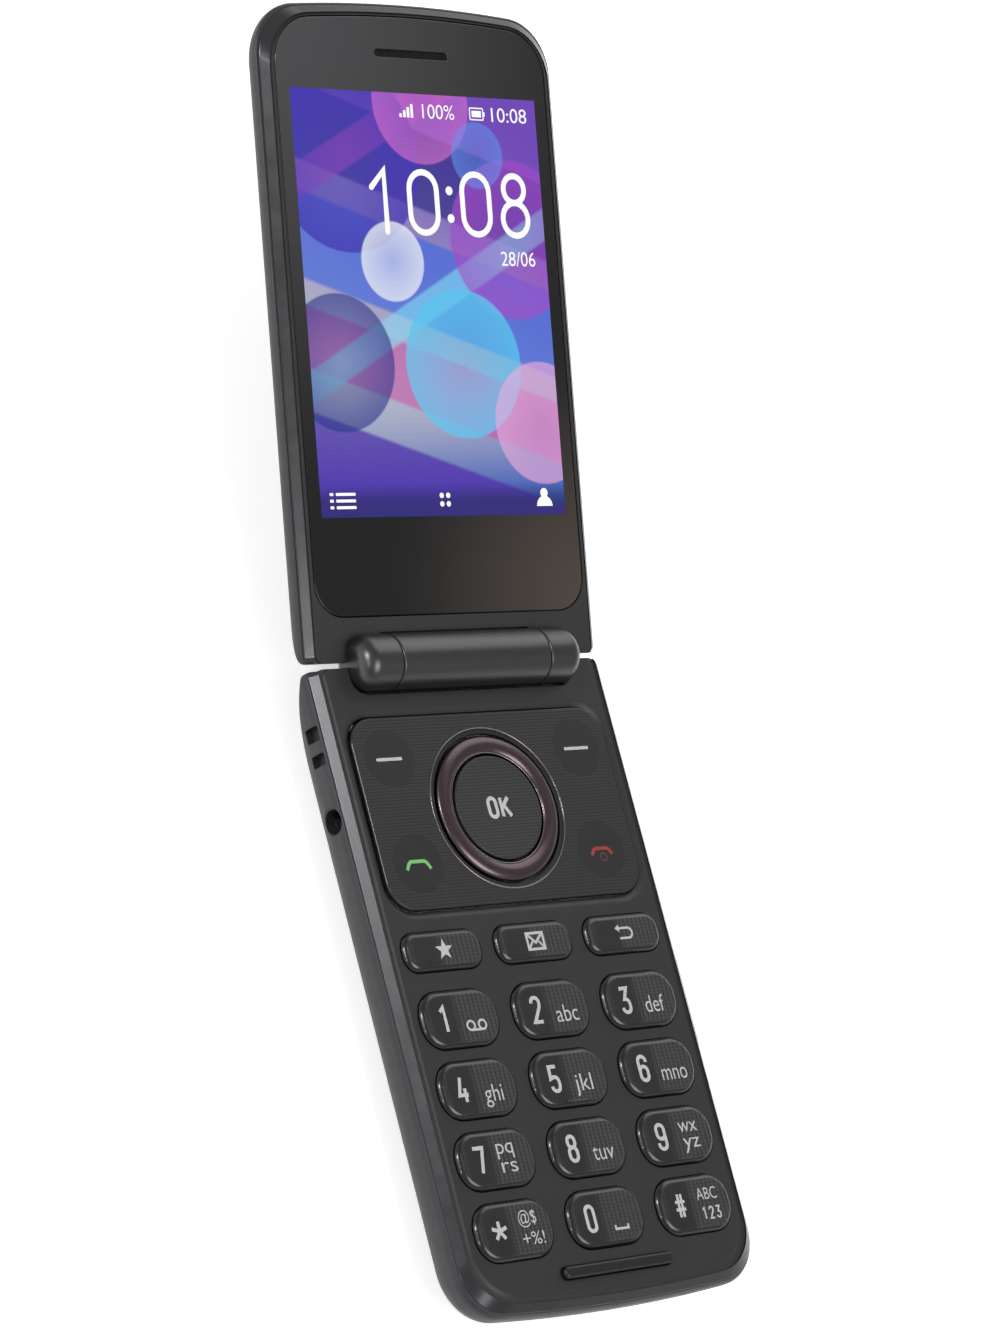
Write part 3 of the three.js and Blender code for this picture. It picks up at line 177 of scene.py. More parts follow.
@dataclass(frozen=True)
class Half:
    """One half of the phone, with the sizes that shape its outer skin."""

    body: str
    side: int
    rise: float
    axis_above: float
    half_width: float
    length: float
    thickness: float
    corner: float
    arch: float
    face_inset: float
    strip_depth: float
    strip_inset: float
    full_depth: float
    belly_start: float
    belly_run: float
    heel_start: float
    heel_run: float
    end_gap: float = 0.3
    near_corner: float = 1.2
    near_corner_start: float = 2.5
    near_corner_growth: float = 1.8
    hinge_room: float = 6.6

    def matrix(self) -> Matrix:
        """Matrix from this half's millimetres, with depth downwards, to the frame's metres."""
        return (Matrix.Translation(Vector(HINGE["pos_m"]))
                @ Matrix.Rotation(math.radians(self.rise), 4, "X")
                @ Matrix.Translation((0, 0, -self.axis_above * MM))
                @ Matrix.Scale(MM, 4))

    def local(self, place: Place) -> Vector:
        """Point of this half's own axes from a place of (across, distance, depth)."""
        return Vector((place[0], self.side * place[1], -place[2]))

    def arched(self, half_width: float, near: float, far: float, near_radius: float, far_radius: float,
               notch: Sequence[Point] = ()) -> Outline:
        """Outline with straight sides, a square near end and an arched far end.

        Args:
            half_width: Half of its width.
            near, far: Distances of its two ends.
            near_radius, far_radius: Corner radii of the two ends.
            notch: Points that the near end passes through, from left to right.

        Returns:
            The outline, counter-clockwise, from the corner at the near right.
        """
        arch_radius = (half_width ** 2 + self.arch ** 2) / (2 * self.arch)
        reach = half_width - far_radius
        rise = math.sqrt((arch_radius - far_radius) ** 2 - reach ** 2)
        middle = far - arch_radius
        turn = math.degrees(math.atan2(rise, reach))
        right = (arc(half_width - near_radius, near + near_radius, near_radius, -90, 0, 8)
                 + arc(reach, middle + rise, far_radius, 0, turn, 16)
                 + arc(0, middle, arch_radius, turn, 90, 12)[1:])
        left = [(-x, y) for x, y in right[:-1]][::-1]
        return right + left + list(notch)

    def run(self, depth: float, start: float, length: float) -> float:
        """Run of a quarter-ellipse rounding at a depth, from its start to the back."""
        share = min(1.0, max(0.0, (depth - start) / (self.thickness - start)))
        return length * (1 - math.sqrt(1 - share * share))

    def inset(self, depth: float) -> float:
        """Inset of the skin's sides at a depth: the strip's slope, the full width, then the belly."""
        if depth <= self.strip_depth:
            return self.face_inset + (self.strip_inset - self.face_inset) * depth / self.strip_depth
        shoulder = max(0.0, 1 - (depth - self.strip_depth) / (self.full_depth - self.strip_depth))
        return self.strip_inset * shoulder ** 2 + self.run(depth, self.belly_start, self.belly_run)

    def corner_at(self, depth: float) -> float:
        """Radius of the outer corners by the hinge at a depth."""
        return self.near_corner + self.near_corner_growth * max(0.0, depth - self.near_corner_start)

    def skin(self, depth: float, draw_in: float = 0.0) -> Outline:
        """Outer outline at a depth.

        Args:
            depth: Depth under the face.
            draw_in: How far it is drawn in all round, as at a seam's rounded lip.

        Returns:
            The outline.
        """
        inset = self.inset(depth) + draw_in
        heel = self.end_gap + self.run(depth, self.heel_start, self.heel_run)
        return self.arched(self.half_width - inset, heel + draw_in, self.length - inset,
                           self.corner_at(depth), self.corner)

    def room(self, depth: float, wall: float) -> Outline:
        """Outline of the space inside at a depth.

        Args:
            depth: Depth under the face.
            wall: Wall between the skin and the space.

        Returns:
            The outline.
        """
        inset = self.run(depth, self.belly_start, self.belly_run) + wall
        heel = self.end_gap + self.run(depth, self.heel_start, self.heel_run)
        near = max(self.hinge_room, heel + 2 * wall)
        corner = max(self.near_corner, self.corner_at(depth) - max(0.0, near - heel - wall))
        return self.arched(self.half_width - inset, near, self.length - inset, corner, self.corner - wall)


BASE = Half(body="base", side=-1, rise=0, axis_above=0.5, half_width=29.5, length=101, thickness=10.8,
            corner=7.5, arch=1.4, face_inset=1.75, strip_depth=1.2, strip_inset=0.55, full_depth=2.4,
            belly_start=3.4, belly_run=10, heel_start=2, heel_run=16)
LID = Half(body="lid", side=1, rise=OPEN_RISE, axis_above=0.775, half_width=29.4, length=101.1,
           thickness=6.9, corner=8.5, arch=1.6, face_inset=1.6, strip_depth=1.25, strip_inset=0.5,
           full_depth=1.7, belly_start=1.9, belly_run=8, heel_start=1.7, heel_run=10)
FACE_LEVEL = HINGE["pos_m"][2] / MM - BASE.axis_above


class Field:
    """A number in a node tree, whose arithmetic adds the nodes that work it out."""

    def __init__(self, tree: "Tree", socket: Socket) -> None:
        """Keep the tree and the socket that gives the number."""
        self.tree = tree
        self.socket = socket

    def math(self, operation: str, *others: "Field | float") -> "Field":
        """Result of a math node on this number and others, by the name of its operation."""
        return self.tree.field("ShaderNodeMath", dict(enumerate((self, *others))), operation=operation)

    def __add__(self, other: "Field | float") -> "Field":
        """Sum."""
        return self.math("ADD", other)

    def __sub__(self, other: "Field | float") -> "Field":
        """Difference."""
        return self.math("SUBTRACT", other)

    def __mul__(self, other: "Field | float") -> "Field":
        """Product."""
        return self.math("MULTIPLY", other)

    def __truediv__(self, other: "Field | float") -> "Field":
        """Quotient."""
        return self.math("DIVIDE", other)

    def blend(self, low: float, high: float) -> "Field":
        """Soft step that rises from 0 at a low value to 1 at a high one."""
        return self.tree.field("ShaderNodeMapRange", {"Value": self, "From Min": low, "From Max": high},
                               interpolation_type="SMOOTHSTEP")


class Tree:
    """A node tree under construction, of a material or of geometry."""

    def __init__(self, tree: bpy.types.NodeTree) -> None:
        """Keep the tree."""
        self.tree = tree

    def node(self, kind: str, inputs: Optional[dict] = None, **settings: object) -> bpy.types.Node:
        """Add a node, set it up and feed its inputs.

        Args:
            kind: The node's type.
            inputs: Values or sources by the name or the number of the input.
            settings: The node's own properties.

        Returns:
            The node.
        """
        node = self.tree.nodes.new(kind)
        for name, value in settings.items():
            setattr(node, name, value)
        for key, value in (inputs or {}).items():
            source = value.socket if isinstance(value, Field) else value
            if isinstance(source, Socket):
                self.link(source, node.inputs[key])
            else:
                node.inputs[key].default_value = source
        return node

    def link(self, source: Socket, target: Socket) -> None:
        """Feed one socket from another."""
        self.tree.links.new(source, target)

    def field(self, kind: str, inputs: Optional[dict] = None, output: "int | str" = 0,
              **settings: object) -> Field:
        """Add a node and return one of its outputs as a number."""
        return Field(self, self.node(kind, inputs, **settings).outputs[output])

    def split(self, vector: Socket) -> list[Field]:
        """The three numbers of a vector."""
        return [Field(self, axis) for axis in self.node("ShaderNodeSeparateXYZ", {0: vector}).outputs]

    def vector(self, *parts: "Field | float") -> Socket:
        """Vector of up to three numbers."""
        return self.node("ShaderNodeCombineXYZ", dict(enumerate(parts))).outputs[0]

    def mix(self, share: "Field | float", low: object, high: object) -> Socket:
        """Colour between two others: a share of 0 gives the low one and 1 the high one."""
        return self.node("ShaderNodeMix", {0: share, 6: low, 7: high}, data_type="RGBA").outputs[2]


def linear(colour: str, share: float = 1.0) -> tuple[float, float, float, float]:
    """Linear colour from six hexadecimal digits as a screen shows them.

    Args:
        colour: The digits.
        share: Brightness that the linear colour is multiplied by.

    Returns:
        Red, green, blue and an opaque alpha.
    """
    shown = [int(colour[i:i + 2], 16) / 255 for i in (0, 2, 4)]
    red, green, blue = [share * (v / 12.92 if v <= 0.04045 else ((v + 0.055) / 1.055) ** 2.4)
                        for v in shown]
    return red, green, blue, 1.0


class Spot(NamedTuple):
    """Place in a material: its vector and its three millimetre axes."""

    place: Socket
    across: Field
    along: Field
    up: Field

    def reach(self, x: float, y: float) -> Field:
        """Distance from a point, seen from above."""
        return ((self.across - x).math("POWER", 2) + (self.along - y).math("POWER", 2)).math("SQRT")


@dataclass(frozen=True)
class Finish:
    """Moulded or painted surface: a colour with faint clouds, fine grain and uneven gloss."""

    name: str
    slot: str
    colour: str
    roughness: float = 0.5
    metallic: float = 0.0
    clouds: float = 0.12
    grain_size: float = 0.16
    grain_depth: float = 0.006
    grain_stretch: tuple[float, float, float] = (1, 1, 1)
    roughness_spread: float = 0.08
    coat: float = 0.0
    coat_roughness: float = 0.05
    specular: float = 0.5
    cloud_size: float = 9.0

    @cache
    def material(self) -> bpy.types.Material:
        """The material, made once."""
        material = bpy.data.materials.new(self.name)
        material.use_nodes = True
        tree = Tree(material.node_tree)
        shader = material.node_tree.nodes["Principled BSDF"]
        values = {"Metallic": self.metallic, "Coat Weight": self.coat,
                  "Coat Roughness": self.coat_roughness, "Specular IOR Level": self.specular}
        for title, value in values.items():
            shader.inputs[title].default_value = value
        self.dress(tree, shader)
        return material

    def spot(self, tree: Tree) -> Spot:
        """Object coordinates in millimetres."""
        source = tree.node("ShaderNodeTexCoord").outputs["Object"]
        scaled = tree.node("ShaderNodeMapping", {"Vector": source, "Scale": (1 / MM,) * 3}).outputs[0]
        return Spot(scaled, *tree.split(scaled))

    def noise(self, tree: Tree, place: Socket, size: float, detail: float = 2.0,
              stretch: tuple[float, float, float] = (1, 1, 1)) -> Field:
        """Noise whose features have a size in millimetres."""
        spread = tree.node("ShaderNodeMapping", {"Vector": place, "Scale": stretch}).outputs[0]
        return tree.field("ShaderNodeTexNoise", {"Vector": spread, "Scale": 1 / size, "Detail": detail})

    def dress(self, tree: Tree, shader: bpy.types.Node) -> None:
        """Add the colour, roughness and bump.

        Args:
            tree: The material's tree.
            shader: Its surface shader.
        """
        spot = self.spot(tree)
        tree.link(self.tone(tree, spot), shader.inputs["Base Color"])
        gloss = self.noise(tree, spot.place, 7 * self.grain_size + 1, 3)
        rough = gloss * (2 * self.roughness_spread) + (self.roughness - self.roughness_spread)
        tree.link(self.gloss(rough, spot).socket, shader.inputs["Roughness"])
        height = self.height(tree, spot)
        bump = tree.node("ShaderNodeBump", {"Height": height, "Distance": self.grain_depth * MM})
        tree.link(bump.outputs[0], shader.inputs["Normal"])

    def tone(self, tree: Tree, spot: Spot) -> Socket:
        """Colour of the surface, with clouds."""
        cloud = self.noise(tree, spot.place, self.cloud_size, 4)
        return tree.mix(cloud, linear(self.colour, 1 - self.clouds), linear(self.colour, 1 + self.clouds))

    def gloss(self, rough: Field, spot: Spot) -> Field:
        """Roughness of the surface."""
        return rough

    def height(self, tree: Tree, spot: Spot) -> Field:
        """Height of the grain, from 0 to 1."""
        return self.noise(tree, spot.place, self.grain_size, 3, self.grain_stretch)


@dataclass(frozen=True)
class WovenFinish(Finish):
    """Black plastic with a moulded grid on its flat top, smooth on its edges and round its signs; the grid
    carries painted shade in its grooves and painted light on the tops of its cells.
    """

    top: float = 0.0
    rows: float = 1.0
    columns: float = 1.0
    column_pitch: float = 0.5
    row_pitch: float = 0.5
    # Brightness of the painted light on the tops of the grid's cells.
    cell_top_light: float = 1.6
    edge_roughness: float = 0.16
    smooth_colour: str = "222226"
    smooth_spots: tuple[Point, ...] = ()
    spot_radius: float = 4.75
    smooth_columns: tuple[float, ...] = ()
    column_half: float = 5.0
    top_blend: Point = (0.09, 0.03)
    spot_blend: Point = (0.15, 0.05)
    column_blend: Point = (1.5, 0.5)
    groove_blend: Point = (0.3, 1.0)
    # Brightness of the painted shade in the grid's grooves.
    groove_shade: float = 0.1
    grain_share: float = 0.1
    # Share of the plain tone mixed evenly over the painted grid light and shade.
    plain_share: float = 0.35

    def flat(self, spot: Spot) -> Field:
        """Share of the flat top at a place, 0 on the rounded edges."""
        low, high = self.top_blend
        return spot.up.blend(self.top - low, self.top - high)

    def woven(self, spot: Spot) -> Field:
        """Share of the pattern at a place: 1 on the grid, 0 on the smooth places."""
        share = self.flat(spot)
        within, past = self.spot_blend
        for x, y in self.smooth_spots:
            share = share * spot.reach(x, y).blend(self.spot_radius - within, self.spot_radius + past)
        within, past = self.column_blend
        for x in self.smooth_columns:
            column = (spot.across - x).math("ABSOLUTE")
            share = share * column.blend(self.column_half - within, self.column_half + past)
        return share

    def grid(self, spot: Spot) -> Field:
        """Square cells with rounded tops, from 0 in the grooves to 1."""
        lines = []
        for line, pitch, depth in ((spot.across, self.column_pitch, self.columns),
                                   (spot.along, self.row_pitch, self.rows)):
            wave = (line * (math.pi / pitch)).math("SINE").math("ABSOLUTE").math("POWER", 0.5)
            lines.append(wave * depth + (1 - depth))
        return lines[0] * lines[1]

    def height(self, tree: Tree, spot: Spot) -> Field:
        """Height of the grid where it shows, with the grain over it."""
        grain = super().height(tree, spot) * self.flat(spot) * self.grain_share
        return self.grid(spot) * self.woven(spot) + grain

    def gloss(self, rough: Field, spot: Spot) -> Field:
        """Roughness, lower on the edges."""
        return (rough - self.edge_roughness) * self.flat(spot) + self.edge_roughness

    def tone(self, tree: Tree, spot: Spot) -> Socket:
        """Colour of the surface, with painted shade in the grooves of the grid and painted light on the
        tops of its cells, evenly mixed back towards the plain tone.
        """
        share = self.woven(spot)
        # Painted shade in the grooves and painted light on the cell tops.
        tops = tree.mix(self.grid(spot).blend(*self.groove_blend), linear(self.colour, self.groove_shade),
                        linear(self.colour, self.cell_top_light))
        painted_grid_tone = tree.mix(self.plain_share, tops, super().tone(tree, spot))
        return tree.mix(share, linear(self.smooth_colour), painted_grid_tone)


@dataclass(frozen=True)
class WindowFinish(Finish):
    """Smoked glass with two painted reflections: a little paler at one corner of its top and warmer at one
    corner of the chin.
    """

    # Painted reflections: the corner, reach and tint of each patch of reflected light painted into the
    # glass.
    painted_reflections: tuple[tuple[Point, float, str], ...] = (
        ((-30.0, 152.0), 80.0, "48484a"), ((30.0, 58.0), 46.0, "4a423c"))

    def tone(self, tree: Tree, spot: Spot) -> Socket:
        """Colour of the glass, with the two painted reflections over it."""
        colour = super().tone(tree, spot)
        # Each patch is a painted reflection that fades out from its corner.
        for corner, reach, tint in self.painted_reflections:
            colour = tree.mix(spot.reach(*corner).blend(reach, 0.0), colour, linear(tint))
        return colour


@dataclass(frozen=True)
class GlowFinish(Finish):
    """Lit marks of a display: plain light on black."""

    strength: float = 1.0
    flicker: float = 0.03
    flicker_size: float = 3.0

    def dress(self, tree: Tree, shader: bpy.types.Node) -> None:
        """Set a black surface that gives light.

        Args:
            tree: The material's tree.
            shader: Its surface shader.
        """
        shader.inputs["Base Color"].default_value = (0, 0, 0, 1)
        shader.inputs["Roughness"].default_value = self.roughness
        shader.inputs["Emission Strength"].default_value = self.strength
        tree.link(self.light(tree), shader.inputs["Emission Color"])

    def light(self, tree: Tree) -> Socket:
        """Colour of the light, with a faint flicker of its level."""
        level = self.noise(tree, self.spot(tree).place, self.flicker_size)
        return tree.mix(level, linear(self.colour, 1 - self.flicker), linear(self.colour, 1 + self.flicker))


@dataclass(frozen=True)
class PictureFinish(GlowFinish):
    """Display picture: soft discs and slanted bands in violet, magenta, blue, cyan and pale grey."""

    tallness: float = 1.333
    sky: tuple[str, str] = ("b9bec8", "6b3fb4")
    sky_slope: float = 0.35
    sky_blend: Point = (0.15, 1.25)
    low_colour: str = "1c4fb4"
    low_blend: Point = (0.32, 0.0)
    bar_colour: str = "141a5e"
    bar_blend: Point = (0.085, 0.03)
    bar_share: float = 0.75
    band_slope: float = 0.25
    band_edge: float = 0.012
    disc_edge: float = 0.008
    disc_shade: Point = (0.45, 0.55)
    bands: tuple[tuple[float, float, float, str, float], ...] = (
        (0.10, 0.30, 0.9, "4a1fa8", 0.85), (0.42, 0.16, 0.9, "c22fa0", 0.6),
        (0.66, 0.22, 0.9, "2a62d8", 0.75), (0.93, 0.20, 0.9, "1b1f86", 0.8),
        (0.30, 0.09, -1.6, "7fd8f4", 0.55), (0.78, 0.10, -1.6, "b84ac0", 0.5))
    discs: tuple[tuple[float, float, float, str, float], ...] = (
        (0.20, 0.84, 0.30, "3b2bb0", 0.85), (0.86, 0.66, 0.26, "9a3fc4", 0.7),
        (0.62, 0.36, 0.24, "4fc3ee", 0.75), (0.12, 0.36, 0.22, "22308f", 0.8),
        (0.52, 0.98, 0.20, "d06ccf", 0.55), (0.93, 0.22, 0.20, "e3a9dc", 0.6),
        (0.36, 0.60, 0.13, "f2f6fb", 0.65), (0.74, 0.86, 0.11, "5a86e6", 0.6))

    def light(self, tree: Tree) -> Socket:
        """Colour of the picture, painted over the piece's own UV map."""
        u, v, _ = tree.split(tree.node("ShaderNodeUVMap").outputs[0])
        sky = tree.mix((v + u * self.sky_slope).blend(*self.sky_blend), *map(linear, self.sky))
        colour = tree.mix(v.blend(*self.low_blend), sky, linear(self.low_colour))
        for middle, width, slope, tint, share in self.bands:
            reach = (v + u * slope * self.band_slope - middle).math("ABSOLUTE")
            inside = reach.blend(width / 2, width / 2 - self.band_edge)
            colour = tree.mix(inside * share, colour, linear(tint))
        gain, base = self.disc_shade
        for x, y, radius, tint, share in self.discs:
            reach = ((u - x).math("POWER", 2) + ((v - y) * self.tallness).math("POWER", 2)).math("SQRT")
            inside = reach.blend(radius, radius - self.disc_edge) * (reach / radius * gain + base)
            colour = tree.mix(inside * share, colour, linear(tint))
        return tree.mix(v.blend(*self.bar_blend) * self.bar_share, colour, linear(self.bar_colour))


@dataclass(frozen=True)
class BoardFinish(Finish):
    """Circuit board: green mask over crossing traces and round pads."""

    trace_pitch: float = 1.1
    bend: Point = (11.0, 6.0)
    trace_blend: Point = (0.55, 0.8)
    trace_light: float = 2.2
    trace_share: float = 0.5
    pad_scale: float = 0.35
    pad_blend: Point = (0.16, 0.12)
    pad_colour: str = "c9a35a"

    def tone(self, tree: Tree, spot: Spot) -> Socket:
        """Mask colour, lighter over the traces and gold on the pads."""
        plain = super().tone(tree, spot)
        size, reach = self.bend
        bend = self.noise(tree, spot.place, size) * reach
        lines = [((line + bend) * (math.pi / self.trace_pitch)).math("SINE").blend(*self.trace_blend)
                 for line in (spot.across, spot.along)]
        traces = lines[0].math("MAXIMUM", lines[1]) * self.trace_share
        traced = tree.mix(traces, plain, linear(self.colour, self.trace_light))
        cells = tree.field("ShaderNodeTexVoronoi", {"Vector": spot.place, "Scale": self.pad_scale},
                           output="Distance")
        return tree.mix(cells.blend(*self.pad_blend), traced, linear(self.pad_colour))


class Finishes:
    """All finishes of the phone, by what they cover."""

    CASE = Finish("charcoal_moulding", "case_plastic", "252527", roughness=0.46, grain_depth=0.006)
    BACK = Finish("charcoal_back", "back_plastic", "29292c", roughness=0.48, grain_depth=0.008)
    TRIM = Finish("satin_trim", "case_plastic", "37373a", roughness=0.2, metallic=0.4, grain_size=0.2,
                  grain_depth=0.001)
    BARREL = Finish("satin_barrel", "case_plastic", "121214", roughness=0.32, grain_depth=0.001,
                    specular=1.0, roughness_spread=0.02, clouds=0.05)
    # The keys' grid carries strong painted light on its cell tops and painted shade in its grooves.
    KEY = WovenFinish("key_cap", "key_plastic", "1b1b1d", roughness=0.36, grain_depth=0.04, rows=0.55,
                      column_pitch=0.84, row_pitch=0.56, cell_top_light=5.0, specular=0.6, coat=0.3,
                      top=FACE_LEVEL + 0.75, smooth_colour="0c0c0e", smooth_columns=(-21.5, -3.6, 14.4),
                      column_half=3.2, edge_roughness=0.25)
    OK = WovenFinish("ok_cap", "key_plastic", "29292b", roughness=0.42, grain_depth=0.02, columns=0.4,
                     top=FACE_LEVEL + 0.4)
    RING = Finish("ring_lacquer", "ring_gloss", "5d5055", roughness=0.27, metallic=1.0, coat=0.2,
                  clouds=0.03, grain_depth=0.0002, roughness_spread=0.01)
    # Light metal of the beads that draw painted highlight lines on the edges of the ring and the moat.
    BEAD = Finish("bright_bead", "ring_gloss", "948c90", roughness=0.25, metallic=1.0, grain_depth=0.0002)
    GLASS = Finish("window_gloss", "window_black", "0b0b0c", roughness=0.06, clouds=0.05, specular=0.4,
                   grain_depth=0.0002, roughness_spread=0.01)
    WINDOW = WindowFinish("main_window_gloss", "window_black", "161617", roughness=0.08, clouds=0.05,
                          specular=0.4, grain_depth=0.0002, roughness_spread=0.02)
    RUBBER = Finish("soft_rubber", "black_rubber", "161618", roughness=0.34, grain_depth=0.003)
    INSULATOR = Finish("matt_insulator", "black_insulator", "161618", roughness=0.45)
    FILM = Finish("milky_film", "clear_film", "a9adb2", roughness=0.35, grain_size=0.6)
    BOARD = BoardFinish("green_board", "circuit_board", "1f4a32", roughness=0.42)
    WRAP = Finish("silver_wrap", "battery_wrap", "8b8f96", roughness=0.38, grain_size=0.8)
    PANEL = Finish("display_glass", "display_panel", "16181d", roughness=0.12, grain_depth=0.001)
    AMBER = Finish("amber_flex", "amber_film", "a86a26", roughness=0.36, grain_size=0.5)
    STEEL = Finish("brushed_steel", "bright_steel", "b4b6b9", roughness=0.28, metallic=1.0,
                   grain_stretch=(0.08, 1, 1), clouds=0.06)
    SPEAKER = Finish("speaker_can", "speaker_metal", "8f9195", roughness=0.4, metallic=1.0)
    DARK_METAL = Finish("turned_metal", "dark_metal", "4a4a4e", roughness=0.3, metallic=1.0,
                        grain_stretch=(1, 0.1, 1), grain_depth=0.002)
    GOLD = Finish("gold_contacts", "gold_metal", "c8a560", roughness=0.3, metallic=1.0)
    LAMP = Finish("lamp_lens", "flash_lens", "d9d6c4", roughness=0.2, coat=0.5, grain_depth=0.001)
    NET = Finish("black_net", "dark_metal", "121214", roughness=0.5, metallic=0.3)
    INK = Finish("pale_ink", "key_plastic", "b9b9bb", roughness=0.6, clouds=0.03, grain_depth=0.001)
    GREEN_INK = Finish("green_ink", "key_plastic", "72b868", roughness=0.6, clouds=0.05, grain_depth=0.001)
    RED_INK = Finish("red_ink", "key_plastic", "962f34", roughness=0.6, clouds=0.05, grain_depth=0.001)
    DIM_RED_INK = Finish("dim_red_ink", "key_plastic", "5a2e32", roughness=0.6, clouds=0.05,
                         grain_depth=0.001)
    PICTURE = PictureFinish("display_picture", "display_panel", "ffffff", roughness=0.08, coat=0.3)
    MARK = GlowFinish("display_marks", "display_panel", "ffffff", roughness=0.3, strength=1.0)


NODE_FINISHES: dict[str, Finish] = {finish.slot: finish for finish in (
    Finishes.CASE, Finishes.BACK, Finishes.OK, Finishes.RING, Finishes.GLASS, Finishes.RUBBER,
    Finishes.INSULATOR, Finishes.FILM, Finishes.BOARD, Finishes.WRAP, Finishes.PANEL, Finishes.AMBER,
    Finishes.STEEL, Finishes.SPEAKER, Finishes.DARK_METAL, Finishes.GOLD, Finishes.LAMP)}


def placed(name: str, data: bpy.types.ID) -> bpy.types.Object:
    """New object in the scene for a mesh, a lamp, a camera or lettering."""
    thing = bpy.data.objects.new(name, data)
    bpy.context.scene.collection.objects.link(thing)
    return thing


def temporary(data: bpy.types.ID) -> bpy.types.Object:
    """Object in the scene for a mesh or lettering that is still being worked on."""
    return placed("in_work", data)


def settled(holder: bpy.types.Object) -> bpy.types.Mesh:
    """Plain mesh of an object with its modifiers applied. The object is removed."""
    depsgraph = bpy.context.evaluated_depsgraph_get()
    mesh = bpy.data.meshes.new_from_object(holder.evaluated_get(depsgraph), depsgraph=depsgraph)
    bpy.data.objects.remove(holder)
    return mesh


class Piece:
    """A finished mesh of one half, ready to be dressed and to ride on a body."""

    def __init__(self, name: str, mesh: bpy.types.Mesh, half: Half, sharp: float = SHARP_ANGLE) -> None:
        """Even the shading, put the mesh in the frame and make its object.

        Args:
            name: The piece's name.
            mesh: Mesh in the half's millimetres.
            half: The half it is measured in.
            sharp: Angle in degrees past which an edge stays crisp.
        """
        mesh.shade_smooth()
        mesh.set_sharp_from_angle(angle=math.radians(sharp))
        holder = temporary(mesh)
        even = holder.modifiers.new("even_shading", "WEIGHTED_NORMAL")
        even.keep_sharp = True
        done = settled(holder)
        done.transform(half.matrix())
        done.name = name
        self.object = placed(name, done)

    def dress(self, finish: Finish, body: str, *stands_for: str) -> bpy.types.Object:
        """Give the piece its finish and its body.

        Args:
            finish: What covers it.
            body: The body it moves with.
            stands_for: CAD nodes that it is shown instead of.

        Returns:
            The object.
        """
        self.object.data.materials.clear()
        self.object.data.materials.append(finish.material())
        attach(self.object, body)
        if stands_for:
            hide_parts(*stands_for)
        LOG.info("%s rides on %s, %d faces", self.object.name, body, len(self.object.data.polygons))
        return self.object


@dataclass
class Border:
    """Edge of a plate, all round it or round a hole in it."""

    outline: Grown
    profile: Profile


